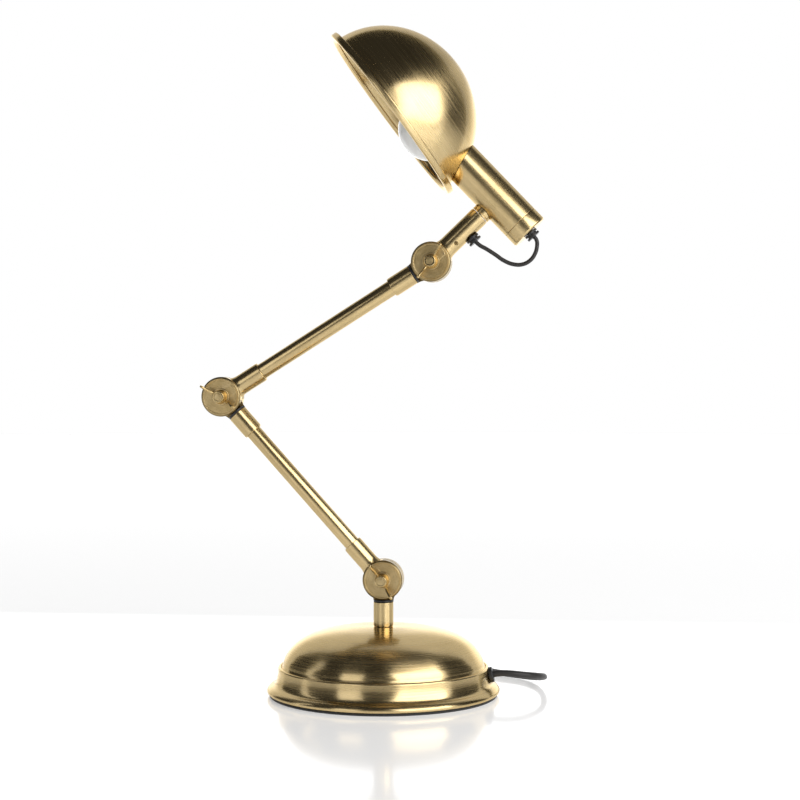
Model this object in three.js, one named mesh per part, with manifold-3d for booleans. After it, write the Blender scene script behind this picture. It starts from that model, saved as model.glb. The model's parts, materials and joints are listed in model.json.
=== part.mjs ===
// Swing arm desk lamp in millimetres, +Z up.
// The origin is the centre of the base's underside. The two arms and the head move in the XZ plane,
// so every hinge axis runs along Y, and the wing nuts face -Y.
//
// Each link has a frame of its own: its X axis runs along the link and its Y axis is the hinge axis.
import * as THREE from 'three';
import { mergeVertices } from 'three/addons/utils/BufferGeometryUtils.js';
import Module from 'manifold-3d';

const wasm = await Module();
wasm.setup();

// Space left between pieces that touch on the real lamp.
const GAP = 0.3;

// Links: pivot height, lengths between pivots, and angles from +X towards +Z.
const BASE_PIVOT_HEIGHT = 99.9;
const LOWER_ARM_LENGTH = 212;
const LOWER_ARM_ANGLE = 131.8;
const UPPER_ARM_LENGTH = 217;
const UPPER_ARM_ANGLE = 32.4;
const HEAD_ANGLE = 43.8;

// Base: a spun brass cover over a cast iron weight, on a rubber pad.
const PAD_RADIUS = 99;
const PAD_THICKNESS = 2;
const PLATE_RADIUS = 93.5;
const PLATE_THICKNESS = 1.3;
const PLATE_HOLE_RADIUS = 12;
const WEIGHT_RADIUS = 70;
const WEIGHT_SHOULDER = 24;
const WEIGHT_BOSS_RADIUS = 20;
const WEIGHT_TOP = 56;
const COVER_TOP = 59;
const COVER_WALL = 1.2;
const NIPPLE_RADIUS = 4.8;
const NIPPLE_BORE = 3;
const NIPPLE_HOLE_RADIUS = 5.3;
const NIPPLE_TOP = 70;
const NUT_RECESS_RADIUS = 13;
const NUT_RECESS_TOP = 12;

// Cord gland on the band of the base: a flanged bush with a tapered body inside the cover.
const BASE_GLAND_REACH = 91.5;
const BASE_GLAND_HEIGHT = 18;
const BASE_GLAND_TILT = 13;
const BASE_GLAND_HOLE = 5.1;

// Disc knuckles: two half discs side by side, each with a round collar for its arm.
const DISC_RADIUS = 17.3;
const DISC_BACK = 0.8;
const DISC_FACE = 10;
const DISC_EDGE = 1.2;
const NECK_START = 8.6;
const COLLAR_RADIUS = 8.6;
const COLLAR_LEDGE = 19.8;
const COLLAR_END = 41;
const COLLAR_EDGE = 0.8;
const SOCKET_START = 26;
const SOCKET_RADIUS = 7.2;
const CABLE_WAY_RADIUS = 2.4;
const CABLE_WAY_OFFSET = 3.9;
const BOLT_RADIUS = 3;
const BOLT_HOLE_RADIUS = 3.4;
const BOLT_TIP = 22.2;
const BOLT_HEAD_RADIUS = 6;
const BOLT_HEAD_HEIGHT = 3.2;
const FRICTION_WASHER_RADIUS = 13;
const FRICTION_WASHER_THICKNESS = 1;
const NUT_WASHER_RADIUS = 7.4;
const NUT_WASHER_THICKNESS = 1;
const HUB_FOOT_RADIUS = 6.2;
const HUB_TOP_RADIUS = 5;
const HUB_HEIGHT = 10;
const WING_THICKNESS = 1.8;
const BUSH_THICKNESS = 1.8;
const BUSH_RADIUS = 8.3;

// Wing directions, from +X towards +Z, of the nuts at the base, the elbow and the head.
const WING_ANGLES = { base: -56.8, elbow: -32.5, head: 55 };

// Arm tubes and the flex inside them.
const ARM_RADIUS = 6.85;
const ARM_BORE = 5.6;
const FLEX_RADIUS = 1.8;

// Head: stem, barrel, lamp holder, bulb and shade, in the frame of the head link.
const STEM_RADIUS = 8.75;
const STEM_END = 57.5;
const STEM_BORE = 5.4;
const STEM_BORE_START = 24;
const STEM_BORE_END = 44;
const STEM_GLAND_PLACE = 39.4;
const GRUB_SCREW_PLACE = [26.5, -3.8];
const GRUB_SCREW_RADIUS = 1.45;
const GRUB_HOLE_RADIUS = 1.8;
const BARREL_PLACE = 78.2;
const BARREL_RADIUS = 17;
const BARREL_BORE = 15.5;
const BARREL_BACK = -28.6;
const BARREL_FRONT = 55;
const BARREL_SIDES = 28;
const CAP_BACK = -40.6;
const CAP_WALL = 1.6;
const SCREW_RADIUS = 2.3;
const SCREW_HOLE_RADIUS = 2.7;
const GLAND_BODY_RADIUS = 3;
const GLAND_HOLE_RADIUS = 3.5;
const GLAND_FLANGE_RADIUS = 6.2;
const GLAND_REACH = 5.2;
const HOLDER_RADIUS = 13.4;
const HOLDER_BACK = 14;
const HOLDER_FRONT = 52;
const HOLDER_BORE = 7.6;
const HOLDER_MOUTH = 10.6;
const SHADE_RING_RADIUS = 18.5;
const SHADE_RING_THICKNESS = 3.5;
const BULB_CENTRE = 83.7;
const BULB_RADIUS = 27.5;
const BULB_FOOT = 44;
const BULB_WALL = 1.2;
const BULB_CAP_RADIUS = 7;
const BULB_CAP_TIP = 21.4;

// Shade: a deep dome whose rim plane is slanted to the stem.
const SHADE_RIM_CENTRE = [60.6, 116.2];
const SHADE_OPENING_ANGLE = 173.3;
const SHADE_RADIUS = 78.5;
const SHADE_DEPTH = 73.5;
const SHADE_WALL = 1.2;
const SHADE_LIP_RADIUS = 84.5;
const SHADE_LIP_BAND = 5.8;
const SHADE_HOLE_RADIUS = 14.2;
const SHADE_SIDES = 40;
// The shade is turned a little about the barrel's axis, towards -Y.
const SHADE_TURN = 3.3;

// Mains cord, inline switch, coil, tie and plug, lying on the surface behind the base.
const CORD_RADIUS = 2.8;
const CORD_SIDES = 8;
const SWITCH_CENTRE = [36, 114];
const SWITCH_LENGTH = 60;
const SWITCH_WIDTH = 22;
const SWITCH_SPLIT = 7.3;
const SWITCH_HEIGHT = 15;
const ROCKER_PIVOT_HEIGHT = 12.5;
const ROCKER_REST_TILT = 7;
const COIL_CENTRE = [-30, 172];
const COIL_INNER_RADIUS = 19.4;
const COIL_OUTER_RADIUS = 42.6;
const COIL_BOTTOM = 1.2;
const COIL_TOP = 12.1;
const TIE_WIDTH = 8;
const TIE_THICKNESS = 0.9;
const PLUG_PLACE = [-27, 236];
const PLUG_THICKNESS = 13.7;
const PLUG_RELIEF_LENGTH = 20;
const PLUG_BODY_LENGTH = 37;
const PLUG_HALF_WIDTH = 17.6;
const PIN_SPACING = 19;
const PIN_RADIUS = 2;
const PIN_LENGTH = 19;

// The cord's route where it isn't coiled: from the gland to the switch, on to the coil, and to the plug.
const CORD_FROM_GLAND = [
  [95.8, 0, 19.0], [99.6, 0, 19.7], [104, 0, 19.9], [110, 0.1, 19.7], [116, 0.9, 19.1],
  [122, 3.2, 18.2], [127.6, 7.4, 17.1], [132.3, 13.4, 15.7], [135.8, 21.2, 14.1],
  [137.8, 30.5, 12.3], [138.2, 41, 10.2], [136.8, 52, 7.9], [133.2, 63, 5.7], [127.2, 73.2, 4.0],
  [119, 82.2, 3.1], [109, 90, 2.85], [98, 97.2, 2.85], [88, 104.2, 3.2], [80, 109.8, 4.5],
  [73, 113.2, 6.0], [66.7, 114, 6.5],
];
const CORD_TO_COIL = [
  [5.3, 114, 6.5], [-1, 113.9, 6.0], [-8, 113.8, 4.3], [-16, 114.1, 3.2], [-26, 115.3, 2.9],
  [-37, 118.6, 2.9], [-47.5, 124.3, 3.0], [-57, 132.6, 3.4], [-64.9, 142, 4.0],
];
const CORD_TO_PLUG = [
  [-66.7, 201, 6.2], [-66.3, 208, 4.7], [-63.9, 216.5, 3.4], [-58.7, 225, 2.9],
  [-51, 231.6, 3.1], [-42, 235.2, 4.6], [-34.5, 236, 6.4], [-27.5, 236, 6.85],
];
// The flex of the head, in the head's frame: from the stem's gland to the cap's gland.
const HEAD_FLEX = [
  [39.4, 0, -14.4], [39.7, 0, -18.2], [41.6, 0, -24.5], [43.7, 0, -33.3], [45.7, 0, -42.9],
  [49.5, 0, -50.8], [55.1, 0, -56.0], [61.8, 0, -57.9], [68.6, 0, -56.7], [74.4, 0, -53.2],
  [77.8, 0, -49.6], [78.2, 0, -46.3],
];

// Finishes: colour, roughness and metalness.
const BRASS = [0xc8a564, 0.34, 1];
const DARK_BRASS = [0xa5875a, 0.42, 1];
const STEEL = [0x9a9a98, 0.4, 1];
const IRON = [0x3a3936, 0.8, 0.6];
const RUBBER = [0x161616, 0.85, 0];
const PLASTIC = [0x1b1a19, 0.5, 0];
const FLEX_SHEATH = [0x211f1d, 0.6, 0];
const OPAL = [0xf3f1ea, 0.25, 0];
const FIBRE = [0x2a2521, 0.8, 0];

const radians = THREE.MathUtils.degToRad;

// ---- Shapes ----

// A turned solid about Y, from a profile of [radius, height] points that runs up its outside.
function turned(profile, sides) {
  const points = profile.map(([radius, height]) => new THREE.Vector2(radius, height));
  const [first, last] = [points[0], points[points.length - 1]];
  const closedOnAxis = first.x === 0 && last.x === 0;
  if (!closedOnAxis) {
    points.push(first.clone());
  }
  return new THREE.LatheGeometry(points, sides);
}

function rod(radius, from, to, sides) {
  return turned([[0, from], [radius, from], [radius, to], [0, to]], sides);
}

function ring(inner, outer, from, to, sides) {
  return turned([[inner, from], [outer, from], [outer, to], [inner, to]], sides);
}

// Turn a shape made about +Y so that its axis points another way.
const alongX = (geometry) => geometry.rotateZ(-Math.PI / 2);
const alongZ = (geometry) => geometry.rotateX(Math.PI / 2);
const alongMinusZ = (geometry) => geometry.rotateX(-Math.PI / 2);
const alongFront = (geometry) => geometry.rotateX(Math.PI);

function box(low, high) {
  const size = high.map((value, axis) => value - low[axis]);
  const middle = high.map((value, axis) => (value + low[axis]) / 2);
  return new THREE.BoxGeometry(...size).translate(...middle);
}

// A round cord along a smooth curve through the points.
function cord(points, radius, steps, sides = CORD_SIDES) {
  const section = new THREE.Shape();
  for (let side = 0; side < sides; side += 1) {
    const angle = (2 * Math.PI * side) / sides;
    const corner = [radius * Math.cos(angle), radius * Math.sin(angle)];
    if (side === 0) {
      section.moveTo(...corner);
    } else {
      section.lineTo(...corner);
    }
  }
  const route = points.map((point) => new THREE.Vector3(...point));
  const curve = new THREE.CatmullRomCurve3(route, false, 'centripetal');
  return new THREE.ExtrudeGeometry(section, { steps, extrudePath: curve, bevelEnabled: false });
}

// A flat outline of [x, y] points, thickened from one height to another.
function plate(outline, from, to) {
  const shape = new THREE.Shape(outline.map(([x, y]) => new THREE.Vector2(x, y)));
  const options = { depth: to - from, bevelEnabled: false };
  return new THREE.ExtrudeGeometry(shape, options).translate(0, 0, from);
}

// ---- Cutting and joining ----

function solid(geometry) {
  const bare = geometry.clone();
  bare.deleteAttribute('normal');
  bare.deleteAttribute('uv');
  const merged = mergeVertices(bare, 1e-4);
  const corners = merged.index.array;
  const triangles = [];
  for (let i = 0; i < corners.length; i += 3) {
    const [a, b, c] = [corners[i], corners[i + 1], corners[i + 2]];
    if (a !== b && b !== c && c !== a) {
      triangles.push(a, b, c);
    }
  }
  return new wasm.Manifold(new wasm.Mesh({
    numProp: 3,
    vertProperties: new Float32Array(merged.attributes.position.array),
    triVerts: new Uint32Array(triangles),
  }));
}

function surface(manifold) {
  const mesh = manifold.getMesh();
  const geometry = new THREE.BufferGeometry();
  geometry.setAttribute('position', new THREE.BufferAttribute(mesh.vertProperties, mesh.numProp));
  geometry.setIndex(new THREE.BufferAttribute(mesh.triVerts, 1));
  geometry.computeVertexNormals();
  return geometry;
}

// One solid from the added shapes, with the cut shapes taken out of it.
function carve(added, cut = []) {
  let whole = solid(added[0]);
  for (const shape of added.slice(1)) {
    whole = whole.add(solid(shape));
  }
  for (const shape of cut) {
    whole = whole.subtract(solid(shape));
  }
  return surface(whole);
}

// ---- Scene graph ----

function addPart(parent, name, geometry, [color, roughness, metalness]) {
  const material = new THREE.MeshStandardMaterial({ color, roughness, metalness });
  const mesh = new THREE.Mesh(geometry, material);
  mesh.name = name;
  parent.add(mesh);
  return mesh;
}

// A link's frame, turned from its parent's direction to its own.
function addLink(parent, place, angle, parentAngle = 0) {
  const link = new THREE.Group();
  link.position.set(place, 0, 0);
  link.rotation.y = -radians(angle - parentAngle);
  parent.add(link);
  return link;
}

// ---- Knuckles ----

// The half of a knuckle whose disc is on the -Y side and whose collar runs along +X.
function knuckleHalf(collarRadius, collarEnd, bores) {
  const disc = alongFront(turned([
    [0, DISC_BACK], [DISC_RADIUS, DISC_BACK], [DISC_RADIUS, DISC_FACE - DISC_EDGE],
    [DISC_RADIUS - DISC_EDGE, DISC_FACE], [0, DISC_FACE],
  ], 28));
  const neck = solid(alongX(rod(collarRadius, NECK_START, COLLAR_LEDGE + 1, 20)));
  const backHalf = box([0, -DISC_BACK, -DISC_RADIUS], [COLLAR_LEDGE + 2, DISC_RADIUS, DISC_RADIUS]);
  const collar = alongX(turned([
    [0, COLLAR_LEDGE], [collarRadius, COLLAR_LEDGE], [collarRadius, collarEnd - COLLAR_EDGE],
    [collarRadius - COLLAR_EDGE, collarEnd], [0, collarEnd],
  ], 20));
  const cableWay = alongX(rod(CABLE_WAY_RADIUS, COLLAR_LEDGE - 1, SOCKET_START + 1, 12));
  cableWay.translate(0, CABLE_WAY_OFFSET, 0);
  const boltHole = alongFront(rod(BOLT_HOLE_RADIUS, 0, DISC_FACE + 1, 16));
  const joined = surface(neck.subtract(solid(backHalf)));
  return carve([disc, joined, collar], [cableWay, boltHole, ...bores]);
}

const armSocket = () => alongX(rod(SOCKET_RADIUS, SOCKET_START, COLLAR_END + 1, 20));

const armKnuckleHalf = () => knuckleHalf(COLLAR_RADIUS, COLLAR_END, [armSocket()]);

// The half that ends a link: its disc is on the +Y side and its collar runs back along -X.
function addRearHalf(link, place, name) {
  const half = addPart(link, name, armKnuckleHalf(), BRASS);
  half.position.x = place;
  half.rotation.z = Math.PI;
}

function boltGeometry() {
  return turned([
    [0, -BOLT_TIP], [BOLT_RADIUS - 0.5, -BOLT_TIP], [BOLT_RADIUS, 0.5 - BOLT_TIP],
    [BOLT_RADIUS, DISC_FACE + GAP], [BOLT_HEAD_RADIUS, DISC_FACE + GAP],
    [BOLT_HEAD_RADIUS, DISC_FACE + 2], [BOLT_HEAD_RADIUS - 1.6, DISC_FACE + BOLT_HEAD_HEIGHT],
    [0, DISC_FACE + BOLT_HEAD_HEIGHT],
  ], 16);
}

// The half-round black bush on the ledge of the rear half, beside the front disc.
function bushGeometry() {
  const inner = COLLAR_LEDGE - GAP - BUSH_THICKNESS;
  const round = alongX(rod(BUSH_RADIUS, inner, COLLAR_LEDGE - GAP, 16));
  const discSide = box([inner - 1, -BUSH_RADIUS - 1, -BUSH_RADIUS - 1],
    [COLLAR_LEDGE, DISC_BACK + GAP, BUSH_RADIUS + 1]);
  const hole = alongX(rod(CABLE_WAY_RADIUS - 0.1, inner - 1, COLLAR_LEDGE, 12));
  hole.translate(0, CABLE_WAY_OFFSET, 0);
  return carve([round], [discSide, hole]);
}

function wingNutGeometry() {
  const foot = DISC_FACE + NUT_WASHER_THICKNESS + 2 * GAP;
  const hub = alongFront(turned([
    [0, foot], [HUB_FOOT_RADIUS, foot], [HUB_FOOT_RADIUS, foot + 1.4],
    [HUB_TOP_RADIUS, foot + HUB_HEIGHT], [0, foot + HUB_HEIGHT],
  ], 20));
  const outline = [
    [3.6, -foot - 0.8], [8, -foot - 1.4], [12, -foot - 3.4], [15.6, -foot - 7], [18, -foot - 11],
    [17.6, -foot - 13.4], [15.4, -foot - 14.2], [11.6, -foot - 11.8], [7.6, -foot - 8.2],
    [3.6, -foot - 7.2],
  ];
  const wing = plate(outline, -WING_THICKNESS / 2, WING_THICKNESS / 2);
  const otherWing = wing.clone().rotateY(Math.PI);
  const bore = alongFront(rod(BOLT_HOLE_RADIUS, foot - 1, foot + HUB_HEIGHT + 1, 16));
  return carve([hub, wing, otherWing], [bore]);
}

// The bolt, washers, bush and wing nut at the end of a link.
function addKnuckleFittings(link, place, linkAngle, joint) {
  const frictionWasher = ring(BOLT_HOLE_RADIUS, FRICTION_WASHER_RADIUS,
    -FRICTION_WASHER_THICKNESS / 2, FRICTION_WASHER_THICKNESS / 2, 24);
  const nutWasher = alongFront(ring(BOLT_HOLE_RADIUS, NUT_WASHER_RADIUS,
    DISC_FACE + GAP, DISC_FACE + GAP + NUT_WASHER_THICKNESS, 20));
  const bolt = addPart(link, `${joint}_bolt`, boltGeometry(), DARK_BRASS);
  bolt.position.x = place;
  const friction = addPart(link, `${joint}_friction_washer`, frictionWasher, FIBRE);
  friction.position.x = place;
  const washer = addPart(link, `${joint}_nut_washer`, nutWasher, BRASS);
  washer.position.x = place;
  const nut = addPart(link, `${joint}_wing_nut`, wingNutGeometry(), BRASS);
  nut.position.x = place;
  nut.rotation.y = -radians(WING_ANGLES[joint] - linkAngle);
  const bush = addPart(link, `${joint}_ledge_bush`, bushGeometry(), PLASTIC);
  bush.position.x = place;
  bush.rotation.z = Math.PI;
}

// ---- Base ----

function addBase(lamp) {
  const plateBottom = PAD_THICKNESS + GAP;
  const plateTop = plateBottom + PLATE_THICKNESS;
  addPart(lamp, 'base_pad', alongZ(rod(PAD_RADIUS, 0, PAD_THICKNESS, 36)), RUBBER);
  addPart(lamp, 'base_plate',
    alongZ(ring(PLATE_HOLE_RADIUS, PLATE_RADIUS, plateBottom, plateTop, 32)), STEEL);

  const weightBottom = plateTop + GAP;
  addPart(lamp, 'base_weight', alongZ(turned([
    [NUT_RECESS_RADIUS, weightBottom], [WEIGHT_RADIUS, weightBottom],
    [WEIGHT_RADIUS, WEIGHT_SHOULDER - 2], [WEIGHT_RADIUS - 4, WEIGHT_SHOULDER],
    [WEIGHT_BOSS_RADIUS + 4, WEIGHT_SHOULDER + 2], [WEIGHT_BOSS_RADIUS, WEIGHT_SHOULDER + 7],
    [WEIGHT_BOSS_RADIUS, WEIGHT_TOP], [NIPPLE_HOLE_RADIUS, WEIGHT_TOP],
    [NIPPLE_HOLE_RADIUS, NUT_RECESS_TOP], [NUT_RECESS_RADIUS, NUT_RECESS_TOP],
  ], 24)), IRON);

  // Outside from the foot bead up over the band and the dome, then back down inside the wall.
  const cover = alongZ(turned([
    [99.5, plateBottom], [100.8, 4.6], [99.6, 8], [93.8, 10.3], [92, 16], [90.6, 22], [90.6, 24],
    [87.3, 26.3], [84.6, 33.5], [79, 41.5], [71, 48], [59, 53.2], [42, 56.8], [20, 58.7],
    [NIPPLE_HOLE_RADIUS, COVER_TOP], [NIPPLE_HOLE_RADIUS, COVER_TOP - COVER_WALL], [41, 55.5],
    [70, 47], [83.2, 33.2], [86, 25.5], [89.2, 22.5], [92.6, 9.3], [98.4, 7.2], [99.3, 4.7],
    [98.2, plateBottom],
  ], 36));
  const glandHole = placeOnBand(alongX(rod(BASE_GLAND_HOLE, -6, 6, 16)));
  addPart(lamp, 'base_cover', carve([cover], [glandHole]), BRASS);

  const gland = placeOnBand(alongX(turned([
    [0, -17.5], [3.7, -17.5], [4.7, -2], [4.7, 0.6], [6.7, 0.6], [6.7, 3.5], [6.2, 3.9], [0, 3.9],
  ], 20)));
  addPart(lamp, 'base_gland', gland, PLASTIC);

  const nippleBottom = weightBottom + 1;
  addPart(lamp, 'post_nipple',
    alongZ(ring(NIPPLE_BORE, NIPPLE_RADIUS, nippleBottom, NIPPLE_TOP, 16)), STEEL);
  const washerBottom = NUT_RECESS_TOP - GAP - 1.3;
  addPart(lamp, 'nipple_washer',
    alongZ(ring(NIPPLE_HOLE_RADIUS, 10, washerBottom, washerBottom + 1.3, 20)), STEEL);
  addPart(lamp, 'nipple_nut',
    alongZ(ring(NIPPLE_HOLE_RADIUS + 0.8, 9.4, washerBottom - GAP - 5, washerBottom - GAP, 6)), STEEL);
}

// Move a shape made about X at the origin to the gland's place on the sloping band.
function placeOnBand(geometry) {
  geometry.rotateY(-radians(BASE_GLAND_TILT));
  return geometry.translate(BASE_GLAND_REACH, 0, BASE_GLAND_HEIGHT);
}

// The post is the collar of the base knuckle's fixed half; its frame's X axis points up.
function addPost(lamp) {
  const post = new THREE.Group();
  post.position.z = BASE_PIVOT_HEIGHT;
  post.rotation.y = -radians(90);
  lamp.add(post);
  const collarEnd = BASE_PIVOT_HEIGHT - COVER_TOP - GAP;
  const nippleSocket = alongX(rod(NIPPLE_HOLE_RADIUS, SOCKET_START, collarEnd + 1, 16));
  const half = addPart(post, 'post_knuckle_half',
    knuckleHalf(COLLAR_RADIUS, collarEnd, [nippleSocket]), BRASS);
  half.rotation.z = Math.PI;
  addKnuckleFittings(post, 0, 90, 'base');
}

// ---- Arms ----

// An arm: the front half of its lower knuckle, a tube, and the rear half of its upper knuckle.
function addArm(link, length, name) {
  addPart(link, `${name}_lower_knuckle_half`, armKnuckleHalf(), BRASS);
  addRearHalf(link, length, `${name}_upper_knuckle_half`);
  const tubeStart = SOCKET_START + GAP;
  addPart(link, `${name}_tube`,
    alongX(ring(ARM_BORE, ARM_RADIUS, tubeStart, length - tubeStart, 20)), BRASS);
  const flexRoute = [
    [COLLAR_LEDGE + GAP, CABLE_WAY_OFFSET, 0], [SOCKET_START, CABLE_WAY_OFFSET, 0],
    [SOCKET_START + 12, 0, 0], [length / 2, 0, 0], [length - SOCKET_START - 12, 0, 0],
    [length - SOCKET_START, -CABLE_WAY_OFFSET, 0],
    [length - COLLAR_LEDGE + BUSH_THICKNESS, -CABLE_WAY_OFFSET, 0],
  ];
  addPart(link, `${name}_flex`, cord(flexRoute, FLEX_RADIUS, 20), FLEX_SHEATH);
}

// ---- Head ----

// The dome's outline from its pole to the lip's start, moved out from the shade's outside by an offset.
function domeProfile(offset) {
  const profile = [];
  const steps = 10;
  const startAngle = Math.asin(SHADE_LIP_BAND / SHADE_DEPTH);
  for (let step = 0; step <= steps; step += 1) {
    const angle = Math.PI / 2 - (step / steps) * (Math.PI / 2 - startAngle);
    const radius = step === 0 ? 0 : (SHADE_RADIUS + offset) * Math.cos(angle);
    profile.push([radius, -(SHADE_DEPTH + offset) * Math.sin(angle)]);
  }
  return profile;
}

function domeVolume(offset) {
  return placeShade(turned([...domeProfile(offset), [0, -SHADE_LIP_BAND]], SHADE_SIDES));
}

// Move a shape made about Y, mouth up and rim plane at zero, to the shade's place.
function placeShade(geometry) {
  alongX(geometry).rotateY(-radians(SHADE_OPENING_ANGLE));
  geometry.translate(SHADE_RIM_CENTRE[0] - BARREL_PLACE, 0, SHADE_RIM_CENTRE[1]);
  return geometry.rotateZ(radians(SHADE_TURN)).translate(BARREL_PLACE, 0, 0);
}

const onBarrelAxis = (geometry) => alongZ(geometry).translate(BARREL_PLACE, 0, 0);

function shadeGeometry() {
  const lip = [
    [SHADE_LIP_RADIUS - 2, -SHADE_LIP_BAND], [SHADE_LIP_RADIUS - 0.3, -SHADE_LIP_BAND + 1.2],
    [SHADE_LIP_RADIUS, -SHADE_LIP_BAND / 2], [SHADE_LIP_RADIUS - 0.6, -1], [SHADE_LIP_RADIUS - 2, 0],
    [SHADE_LIP_RADIUS - 4, 0], [SHADE_RADIUS, -1.2], [SHADE_RADIUS - SHADE_WALL, -3],
  ];
  const inside = domeProfile(-SHADE_WALL).reverse();
  const shell = placeShade(turned([...domeProfile(0), ...lip, ...inside], SHADE_SIDES));
  const sideHole = onBarrelAxis(rod(SHADE_HOLE_RADIUS, 20, 75, 24));
  return carve([shell], [sideHole]);
}

function shadeRingGeometry() {
  const band = solid(onBarrelAxis(ring(HOLDER_RADIUS + 0.5, SHADE_RING_RADIUS, 25, 65, 24)));
  const outer = solid(domeVolume(-SHADE_WALL - 0.5));
  const inner = solid(domeVolume(-SHADE_WALL - 0.5 - SHADE_RING_THICKNESS));
  return surface(band.intersect(outer).subtract(inner));
}

// A double-flanged black gland about Y, standing on a surface at zero.
function glandGeometry(bodyLength) {
  return turned([
    [0, -bodyLength], [GLAND_BODY_RADIUS, -bodyLength], [GLAND_BODY_RADIUS, GAP],
    [GLAND_FLANGE_RADIUS, GAP], [GLAND_FLANGE_RADIUS, 2.1], [GLAND_FLANGE_RADIUS - 1.6, 2.1],
    [GLAND_FLANGE_RADIUS - 1.6, 3.3], [GLAND_FLANGE_RADIUS, 3.3],
    [GLAND_FLANGE_RADIUS, GLAND_REACH - 0.5], [GLAND_FLANGE_RADIUS - 0.5, GLAND_REACH],
    [0, GLAND_REACH],
  ], 16);
}

function addStem(head) {
  const bore = alongX(rod(STEM_BORE, STEM_BORE_START, STEM_BORE_END, 16));
  const screwHole = alongX(rod(SCREW_HOLE_RADIUS, STEM_BORE_END - 1, STEM_END + 1, 12));
  const glandHole = alongMinusZ(rod(GLAND_HOLE_RADIUS, 2, STEM_RADIUS + 1, 12));
  glandHole.translate(STEM_GLAND_PLACE, 0, 0);
  const [grubX, grubZ] = GRUB_SCREW_PLACE;
  const grubHole = alongFront(rod(GRUB_HOLE_RADIUS, 2, STEM_RADIUS + 1, 10));
  grubHole.translate(grubX, 0, grubZ);
  addPart(head, 'head_stem',
    knuckleHalf(STEM_RADIUS, STEM_END, [bore, screwHole, glandHole, grubHole]), BRASS);

  const grub = alongFront(rod(GRUB_SCREW_RADIUS, 4.6, STEM_RADIUS - 1.2, 10));
  grub.translate(grubX, 0, grubZ);
  addPart(head, 'stem_grub_screw', grub, STEEL);

  const barrelSide = onBarrelAxis(rod(BARREL_RADIUS + GAP, -20, 20, BARREL_SIDES));
  const saddle = alongX(rod(STEM_RADIUS, STEM_END + GAP, BARREL_PLACE, 24));
  const saddleHole = alongX(rod(SCREW_HOLE_RADIUS, STEM_END - 1, BARREL_PLACE, 12));
  addPart(head, 'barrel_saddle', carve([saddle], [barrelSide, saddleHole]), BRASS);

  const screwHead = BARREL_PLACE - BARREL_BORE + 0.8;
  addPart(head, 'barrel_screw', alongX(turned([
    [0, STEM_BORE_END + 3], [SCREW_RADIUS, STEM_BORE_END + 3], [SCREW_RADIUS, screwHead],
    [4, screwHead], [4, screwHead + 1.4], [2.8, screwHead + 2.4], [0, screwHead + 2.4],
  ], 12)), STEEL);

  const gland = alongMinusZ(glandGeometry(4.6)).translate(STEM_GLAND_PLACE, 0, -STEM_RADIUS);
  addPart(head, 'stem_gland', gland, PLASTIC);
  const flexRoute = [
    [COLLAR_LEDGE + GAP, CABLE_WAY_OFFSET, 0], [23.5, CABLE_WAY_OFFSET - 0.2, 0], [27, 3.0, 0.4],
    [31.5, 1.2, 1.4], [35.6, 0.2, 1.2], [38.4, 0, -0.8], [39.3, 0, -3.6],
  ];
  addPart(head, 'stem_flex', cord(flexRoute, FLEX_RADIUS, 14), FLEX_SHEATH);
}

function addBarrel(head) {
  const tube = onBarrelAxis(ring(BARREL_BORE, BARREL_RADIUS, BARREL_BACK, BARREL_FRONT, BARREL_SIDES));
  const screwHole = alongX(rod(SCREW_HOLE_RADIUS, BARREL_PLACE - BARREL_RADIUS - 1, BARREL_PLACE - 10, 12));
  addPart(head, 'barrel', carve([tube], [domeVolume(GAP), screwHole]), BRASS);

  addPart(head, 'barrel_cap', onBarrelAxis(turned([
    [GLAND_HOLE_RADIUS, CAP_BACK], [BARREL_RADIUS - 0.8, CAP_BACK], [BARREL_RADIUS, CAP_BACK + 0.8],
    [BARREL_RADIUS, BARREL_BACK - GAP], [BARREL_BORE - 0.5, BARREL_BACK - GAP],
    [BARREL_BORE - 0.5, BARREL_BACK + 4.5], [BARREL_BORE - 1.7, BARREL_BACK + 4.5],
    [BARREL_BORE - 1.7, CAP_BACK + CAP_WALL], [GLAND_HOLE_RADIUS, CAP_BACK + CAP_WALL],
  ], BARREL_SIDES)), BRASS);
  const gland = alongMinusZ(glandGeometry(4)).translate(BARREL_PLACE, 0, CAP_BACK);
  addPart(head, 'cap_gland', gland, PLASTIC);

  addPart(head, 'head_flex', cord(HEAD_FLEX, FLEX_RADIUS, 22), FLEX_SHEATH);
  const inside = [
    [BARREL_PLACE, 0, CAP_BACK + 4.4], [BARREL_PLACE + 1.5, 0, -20], [BARREL_PLACE + 2, 0, -5],
    [BARREL_PLACE, 0, HOLDER_BACK - GAP],
  ];
  addPart(head, 'barrel_flex', cord(inside, FLEX_RADIUS, 6), FLEX_SHEATH);

  addPart(head, 'lamp_holder', onBarrelAxis(turned([
    [0, HOLDER_BACK], [HOLDER_RADIUS - 1, HOLDER_BACK], [HOLDER_RADIUS, HOLDER_BACK + 1],
    [HOLDER_RADIUS, HOLDER_FRONT], [HOLDER_MOUTH, HOLDER_FRONT], [HOLDER_MOUTH, BULB_FOOT + 2],
    [HOLDER_BORE, BULB_FOOT + 2], [HOLDER_BORE, BULB_CAP_TIP - 2], [0, BULB_CAP_TIP - 2],
  ], 24)), PLASTIC);
  addPart(head, 'shade_ring', shadeRingGeometry(), PLASTIC);
}

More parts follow.
